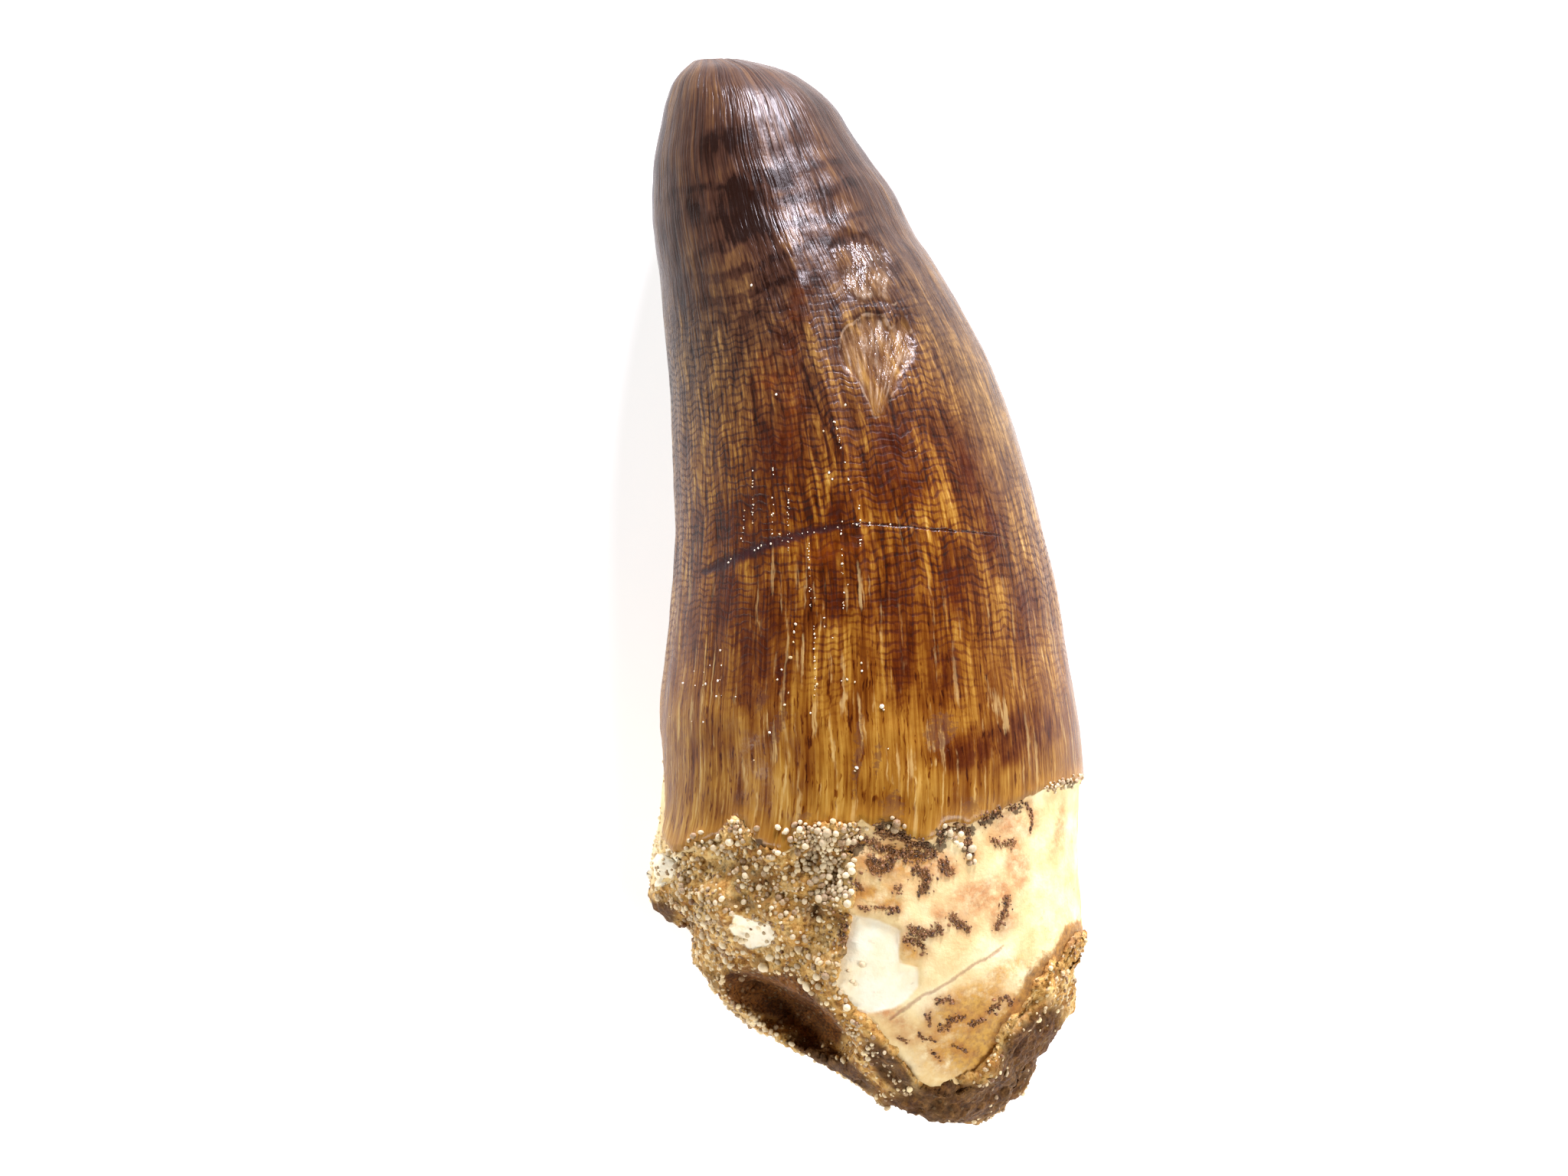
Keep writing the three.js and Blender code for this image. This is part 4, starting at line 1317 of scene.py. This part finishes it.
def roughen(mesh):
    points = np.array([v.co for v in mesh.verts]) / MM
    mesh.normal_update()
    normals = np.array([v.normal for v in mesh.verts])
    to_tooth = np.array([tooth_tree.find_nearest(Vector(p) * MM)[0] for p in points]) / MM - points
    near = np.linalg.norm(to_tooth, axis=-1)
    facing = ease(np.sum(to_tooth * normals, axis=-1) / np.maximum(near, 1e-6), -0.3, 0.4)
    on_top = points[:, 2] > 6
    soft = 1 - 0.45 * ease(inside(HOLLOW, points[:, :2]), 0.0, 0.6) * on_top
    soft = soft * (1 - 0.85 * ease(inside(ISLAND, points[:, :2]), -0.1, 0.15) * on_top)
    points[:, 2] += lift(points, normals, near)
    points[:, 0] += np.interp(points[:, 1], *zip(*TRIM)) * ease(points[:, 0], -7.0, -9.0)
    out = GRIP * facing * ease(near, GRIP_REACH, 0.25)
    out = out + soft * sum(rise * wave(points, size, seed) for rise, size, seed in WAVES)
    out = out - soft * PIT_DEPTH * ease(wave(points, 0.8, 44), 0.35, 0.75)
    out = out + soft * sum(rise * pebbles(points, size, seed) for rise, size, seed in GRAINS) - GRAINS_SINK
    points = points + normals * out[:, None]
    points[:, 2] = np.maximum(points[:, 2], 0.0)
    for vert, point in zip(mesh.verts, points):
        vert.co = point * MM
    return mesh


rock_mesh = roughen(rock_skin())
rock_mesh.verts.ensure_lookup_table()
rock = as_object(rock_mesh, "phosphate_rock")
rock_tree = BVHTree.FromBMesh(rock_mesh)
rock_at = vertices_mm(rock)
loose = uneven(rock_at, 0.9, 0.18, 51)
seen = ease(rock_at[:, 2], 3.0, 6.0)
# the bare bone patch, and the pale flank, which is partly painted light
island = np.maximum(inside(ISLAND, loose), inside(FLANK_BONE_AND_BACKLIGHT, loose))
for name, share in (("hollow", inside(HOLLOW, loose)), ("island", island)):
    add_attribute(rock, name, np.where(seen > 0.5, share, -FAR))
for name, spots in ROCK_STAINS.items():
    add_attribute(rock, name, ovals(loose, spots) * seen)


# %% Finish of the rock
GRAIN_SIZE = 0.26


def phosphate_rock():
    stone = Finish("phosphate_rock")
    place = stone.place()
    cloud, clod = stone.noise(place, 2.0, 5, 0.6), stone.noise(place, 1.1, 3, 0.5)
    sand, grit = stone.noise(place, 0.35, 4, 0.7), stone.noise(place, 0.12, 3, 0.6)
    tinge = stone.noise(stone.node("VectorMath", {}, {0: place, 1: (7.0, 3.0, 5.0)}), 0.9, 3, 0.6)
    round_grain, kind = (stone.node("TexVoronoi", {}, {"Vector": place, "Scale": 1 / GRAIN_SIZE}, out=out)
                         for out in ("Distance", "Color"))
    round_grain, kind = round_grain.ramp(0.5, 0.15), kind.channel("X")
    brown = (stone.attribute("brown") + (sand - 0.5) * 0.8).ramp(0.2, 0.7)
    pale = (stone.attribute("pale") + (sand - 0.5) * 1.2).ramp(0.4, 0.9)
    hollow = (stone.attribute("hollow") + (sand - 0.5) * 0.9).ramp(-0.15, 0.4)
    island = (stone.attribute("island") + (sand - 0.5) * 0.3).ramp(-0.05, 0.05)
    light = kind.ramp(0.72, 0.78) * round_grain * (1 - hollow * 0.8) * (1 - brown * 0.9)
    floor = stone.gradient(cloud * 0.4 + grit * 0.6, (0.3, 34, 12, 1), (0.46, 76, 36, 6), (0.58, 128, 76, 24))
    cement = stone.gradient(
        cloud * 0.3 + sand * 0.4 + clod * 0.3,
        (0.34, 92, 50, 14), (0.43, 152, 103, 42), (0.5, 200, 153, 80), (0.6, 240, 206, 138))
    cement = stone.stained(
        cement, sand,
        (tinge.ramp(0.52, 0.62) * 0.5, (0.35, 122, 84, 44), (0.6, 212, 178, 124)),
        (tinge.ramp(0.46, 0.38) * 0.5, (0.35, 112, 58, 14), (0.6, 206, 144, 58)),
        # brown: partly the rock's own colour, partly painted shade under the end of the root plate
        (brown * 0.92, (0.3, 34, 15, 3), (0.5, 74, 40, 11), (0.7, 120, 76, 28)),
        # pale: paler cement, and a painted highlight on the left
        (pale * 0.6, (214, 182, 124)),
    )
    cement = stone.stained(
        stone.blend(hollow * 0.95, cement, floor), sand,
        (light * 0.85, (230, 206, 160)),
        (kind.ramp(0.2, 0.14) * round_grain * 0.6, (92, 58, 28)),
        # dark ovals: partly dark spots and pits, partly painted shade under the pellets
        (stone.attribute("dark") * (0.5 + (sand - 0.5) * 3.5).clamp() * 0.85, (66, 34, 10)),
        (island, (0.3, 248, 228, 186), (0.5, 255, 246, 222)),
    )
    height = (round_grain * 0.4 + sand * 0.8 + grit * 0.35) * (1 - island * 0.85)
    rough = (0.7 - light * 0.25 + (grit - 0.5) * 0.2).clamp()
    normal = stone.bump(height, 0.15, under=stone.bump(cloud, 0.1))
    return stone.surface(cement, rough, normal, Specular_IOR_Level=0.25)


rock.data.materials.append(phosphate_rock())
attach(rock, "root")
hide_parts("matrix")
print("rock finish has", len(rock.data.materials[0].node_tree.nodes), "nodes")

# %% [markdown]
# ## Loose grains, pellets and crystals
#
# Pale round pellets cluster where the rock meets the enamel, tiny dark crystals run over the root in
# trails, and a few white specks stick to the enamel. These are dropped from above until they meet the tooth
# or the rock. Sand stands out of the rock on every side, and thins out over the bare flank of the root. Each
# grain is then sunk in by a third to a half. All the grains of a kind are one mesh, copied from one round
# grain of a few dozen faces, because there are thousands of them.

# %% Drop and gather grains
DROP_HEIGHT = 40.0


def drop(x, y):
    """Where a grain dropped at x, y comes to rest, and which way the surface faces there."""
    start, down = Vector((x, y, DROP_HEIGHT)) * MM, Vector((0, 0, -1))
    hits = [tree.ray_cast(start, down) for tree in (tooth_tree, rock_tree)]
    hits = [hit for hit in hits if hit[0] is not None]
    return max(hits, key=lambda hit: hit[0].z)[:2] if hits else None


class Ground:
    """Keeps what has been dropped, so that grains lie beside each other and not in each other."""

    def __init__(self, crowding):
        self.crowding, self.dropped, self.spots = crowding, [], []

    def drop(self, x, y, width):
        if self.spots:
            others = np.array(self.spots)
            room = np.hypot(others[:, 0] - x, others[:, 1] - y) - self.crowding * (others[:, 2] + width)
            if room.min() < 0:
                return
        spot = drop(x, y)
        if spot:
            self.spots.append((x, y, width))
            self.dropped.append((*spot, width))


def as_grains(dropped, name, sink, chance, squash=0.4, segments=8, rings=5):
    """One mesh of many grains, each turned and stretched at random. Dropped has place, facing and width."""
    grain = bmesh.new()
    bmesh.ops.create_uvsphere(grain, u_segments=segments, v_segments=rings, radius=0.5)
    corners = np.array([v.co for v in grain.verts])
    faces = [[v.index for v in face.verts] for face in grain.faces]
    all_corners, all_faces = [], []
    for place, facing, width in dropped:
        turn_by, axis = chance.uniform(0, 6.28), Vector(chance.normal(size=3)).normalized()
        turn = np.array(Matrix.Rotation(turn_by, 3, axis))
        stretch = width * MM * (1 + squash * chance.uniform(-1, 1, 3))
        shift = np.array(place + facing * (0.5 - sink) * width * MM)
        all_faces += [[index + len(all_corners) * len(corners) for index in face] for face in faces]
        all_corners.append(corners @ (turn * stretch).T + shift)
    data = bpy.data.meshes.new(name)
    data.from_pydata(np.concatenate(all_corners), [], all_faces)
    data.shade_smooth()
    made = bpy.data.objects.new(name, data)
    bpy.context.collection.objects.link(made)
    add_attribute(made, "tone", np.repeat(chance.uniform(size=len(dropped)), len(corners)))
    print(name, "has", len(dropped), "grains and", 2 * segments * (rings - 1) * len(dropped), "triangles")
    return made


# %% Where the grains lie
SINGLES = [
    # x, y, width of pellets that lie alone
    (1.3, -10.36, 0.55), (-4.7, -17.1, 0.62), (-4.4, -16.6, 0.4), (-1.9, -17.3, 0.45), (-2.7, -17.9, 0.45),
]
PELLETS = [
    # x, y, spread along and across, turn, how many, smallest and largest width
    (-2.35, -11.2, 0.9, 0.5, -25, 600, 0.18, 0.42), (-1.9, -12.2, 0.95, 0.6, -60, 800, 0.18, 0.44),
    (-1.6, -13.4, 0.5, 0.4, 0, 160, 0.18, 0.4), (-5.9, -10.9, 0.35, 0.6, 0, 26, 0.16, 0.36),
    (-6.9, -11.6, 0.9, 0.45, -30, 34, 0.15, 0.4), (1.24, -10.45, 0.3, 0.3, 0, 12, 0.2, 0.42),
    (3.75, -10.95, 0.55, 0.3, 20, 26, 0.16, 0.36), (4.6, -11.75, 0.35, 0.35, 0, 12, 0.18, 0.4),
    (-0.8, -10.8, 0.7, 0.4, 0, 34, 0.18, 0.4), (-8.4, -12.9, 0.4, 1.2, 10, 40, 0.15, 0.36),
    (-7.4, -15.0, 0.6, 0.5, 0, 40, 0.16, 0.4), (9.2, -8.7, 0.7, 0.2, 10, 60, 0.14, 0.3),
    (8.5, -8.85, 0.35, 0.16, 0, 20, 0.12, 0.24), (-4.5, -12.5, 2.4, 1.2, -15, 70, 0.12, 0.34),
    (-7.0, -14.0, 1.2, 1.6, 20, 60, 0.12, 0.3), (-3.5, -15.5, 2.2, 1.6, 0, 80, 0.12, 0.34),
    (-6.4, -16.6, 1.2, 0.8, -30, 40, 0.14, 0.4), (-2.0, -17.6, 1.4, 0.6, -40, 50, 0.12, 0.36),
    (0.2, -20.8, 1.8, 0.45, -48, 45, 0.1, 0.26), (-5.2, -19.8, 2.2, 0.3, -42, 40, 0.1, 0.3),
]
SPECKS = [
    # x, y, width of white crystals on the enamel
    (-3.27, -1.39, 0.16), (-3.34, -1.75, 0.13), (-3.37, -2.2, 0.12), (-3.5, -2.9, 0.17),
    (-3.9, -3.45, 0.16), (-4.1, -3.9, 0.1), (-1.98, -1.1, 0.12), (-1.96, -1.5, 0.1), (-0.3, -3.14, 0.16),
    (-0.28, -3.5, 0.12), (-0.6, -4.0, 0.1), (-0.95, -3.88, 0.14), (-1.2, -3.95, 0.1), (0.62, -5.1, 0.22),
    (0.7, -5.25, 0.14), (-0.52, -7.86, 0.2), (-0.6, -8.0, 0.14), (-4.45, -6.3, 0.14), (-5.16, -7.57, 0.08),
    (-3.77, -5.04, 0.14), (-2.3, -4.1, 0.14), (-2.42, -4.6, 0.12), (-2.6, -5.4, 0.1), (-6.7, -2.6, 0.14),
    (-5.3, 14.2, 0.12), (-4.15, 9.1, 0.12), (-2.0, 7.4, 0.1), (-1.75, 5.5, 0.14), (-1.6, 5.2, 0.1),
    (-3.6, 3.1, 0.1), (-4.0, 2.7, 0.12), (-1.0, 8.6, 0.12), (1.95, 9.9, 0.1), (-6.0, -4.7, 0.07),
    (-7.5, -4.2, 0.08), (-2.4, -0.2, 0.09), (-3.6, -4.5, 0.1), (0.9, -7.0, 0.08), (-1.6, -2.0, 0.08),
    (2.2, 6.5, 0.07), (-0.9, 0.4, 0.08),
]
SPECK_ROWS = [
    # rows of tiny crystals in open hair cracks: x, y at the top, x, y at the bottom, how many
    (-2.42, -1.4, -2.4, -4.4, 16), (-3.6, 4.9, -3.62, 1.9, 12), (-4.3, 5.9, -4.35, 2.6, 9),
    (-5.2, 6.1, -5.25, 2.9, 9), (-2.7, 2.4, -2.6, -0.6, 12), (-1.2, 3.4, -1.1, -0.8, 12),
    (-5.6, 4.2, -5.7, 2.3, 6), (-1.5, 7.9, -0.75, 4.6, 10), (-0.4, 4.2, -0.3, 2.0, 6),
]


# %% Scatter them
def scatter_sand(chance, count):
    """Sand grains that stand out of the rock on all its sides."""
    dropped = []
    for k in chance.choice(len(rock_at), count * 2, replace=False):
        vert = rock_mesh.verts[k]
        spot = np.array([vert.co[:2]]) / MM
        bare = inside(HOLLOW, spot)[0] > 0.2 or inside(ISLAND, spot)[0] > -0.1
        bare = bare or (vert.co.z > 3 * MM and ovals(spot, ROCK_STAINS["brown"])[0] > chance.uniform())
        buried = tooth_tree.find_nearest(vert.co)[3] < 0.25 * MM
        if not (bare or buried) and len(dropped) < count:
            dropped.append((vert.co.copy(), vert.normal.copy(), 0.1 + 0.22 * chance.uniform() ** 2))
    return as_grains(dropped, "sand_grains", 0.5, chance, 0.35, 6, 4)


def crust_on_flank(chance, count):
    """Sand on the bare root beside the crown's left edge, the thinner the further from the rock."""
    enamel = np.empty(len(tooth_at), np.float32)
    tooth.data.attributes["enamel"].data.foreach_get("value", enamel)
    x, y, z = tooth_at.T
    flank_places = np.flatnonzero((enamel < 0.1) & (x < -8.6) & (y > -13.8) & (z > 3))
    dropped = []
    for k in chance.choice(flank_places, min(count, len(flank_places)), replace=False):
        spot = Vector(tooth_at[k]) * MM
        if rock_tree.find_nearest(spot)[3] / MM <= 0.4 + 1.2 * chance.exponential():
            dropped.append((*tooth_tree.find_nearest(spot)[:2], 0.07 + 0.2 * chance.uniform() ** 3))
    return as_grains(dropped, "flank_crust", 0.45, chance, 0.35)


def scatter_specks(chance):
    ground = Ground(0.2)
    for x, y, width in SPECKS:
        ground.drop(x, y, 0.85 * width)
    for ax, ay, bx, by, count in SPECK_ROWS:
        for share in np.sort(chance.uniform(size=int(1.6 * count))):
            wobble = chance.normal(0, 0.025)
            ground.drop(ax + share * (bx - ax) + wobble, ay + share * (by - ay), chance.uniform(0.035, 0.08))
    for (ax, ay), (bx, by) in zip(GLOBE_CRACK[1:], GLOBE_CRACK[2:6]):
        for share in chance.uniform(size=5):
            x, y = ax + share * (bx - ax), ay + share * (by - ay) + chance.normal(0, 0.04)
            ground.drop(x, y, chance.uniform(0.04, 0.11))
    for _ in range(14):
        x, y = chance.uniform(-9.3, -6.6), chance.uniform(-6.0, -3.0)
        ground.drop(x, y, 0.05 + 0.06 * chance.uniform() ** 2)
    return as_grains(ground.dropped, "white_specks", 0.4, chance)


def scatter_pellets(chance):
    ground = Ground(0.34)
    for x, y, width in SINGLES:
        ground.drop(x, y, width)
    for x, y, long, short, turn, count, small, large in PELLETS:
        cos, sin = math.cos(math.radians(turn)), math.sin(math.radians(turn))
        for along, across in chance.normal(0, 0.62, (count, 2)) * (long, short):
            width = small + (large - small) * chance.uniform() ** 1.6
            ground.drop(x + along * cos - across * sin, y + along * sin + across * cos, width)
    return as_grains(ground.dropped, "pale_pellets", 0.42, chance, 0.25)


def scatter_crystals(chance):
    ground = Ground(0.3)
    for width, line in MINERAL_TRAILS:
        for (ax, ay), (bx, by) in zip(line, line[1:]):
            for _ in range(int(math.hypot(bx - ax, by - ay) * width * 330) + 2):
                share, off = chance.uniform(), chance.normal(0, 0.8 * width, 2)
                spot = (ax + share * (bx - ax) + off[0], ay + share * (by - ay) + off[1])
                ground.drop(*spot, 0.06 + 0.11 * chance.uniform() ** 2)
    return as_grains(ground.dropped, "dark_crystals", 0.35, chance)


def grain_finish(name, dark, light, rough):
    """Each grain has a shade of its own, with dust on it."""
    shell = Finish(name)
    dust = shell.noise(shell.place(), 0.09, 3, 0.6)
    shade = shell.attribute("tone") * 0.75 + dust * 0.5 - 0.12
    colour = shell.blend(shell.gradient(shade, (0.1, 0.0), (0.45, 0.55), (0.9, 1.0)), dark, light)
    return shell.surface(colour, (rough + (dust - 0.5) * 0.2).clamp(), shell.bump(dust, 0.02))


for grains, dark, light, rough in (
    (scatter_sand(np.random.default_rng(9), 5000), (112, 66, 26), (252, 228, 178), 0.45),
    # flank crust: paler than the sand, partly painted light, for the flank lit from behind
    (crust_on_flank(np.random.default_rng(10), 700), (184, 138, 72), (255, 240, 200), 0.45),
    (scatter_specks(np.random.default_rng(11)), (206, 176, 124), (255, 250, 236), 0.35),
    (scatter_pellets(np.random.default_rng(7)), (132, 96, 56), (244, 226, 188), 0.5),
    (scatter_crystals(np.random.default_rng(8)), (52, 26, 12), (150, 104, 64), 0.4),
):
    grains.data.materials.append(grain_finish(grains.name, dark, light, rough))
    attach(grains, "root")

# %% Print the sizes
size = {"cad": cad_box, "visual": [list(corner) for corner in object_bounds()]}
print({name: [[round(c / MM, 2) for c in corner] for corner in box] for name, box in size.items()})
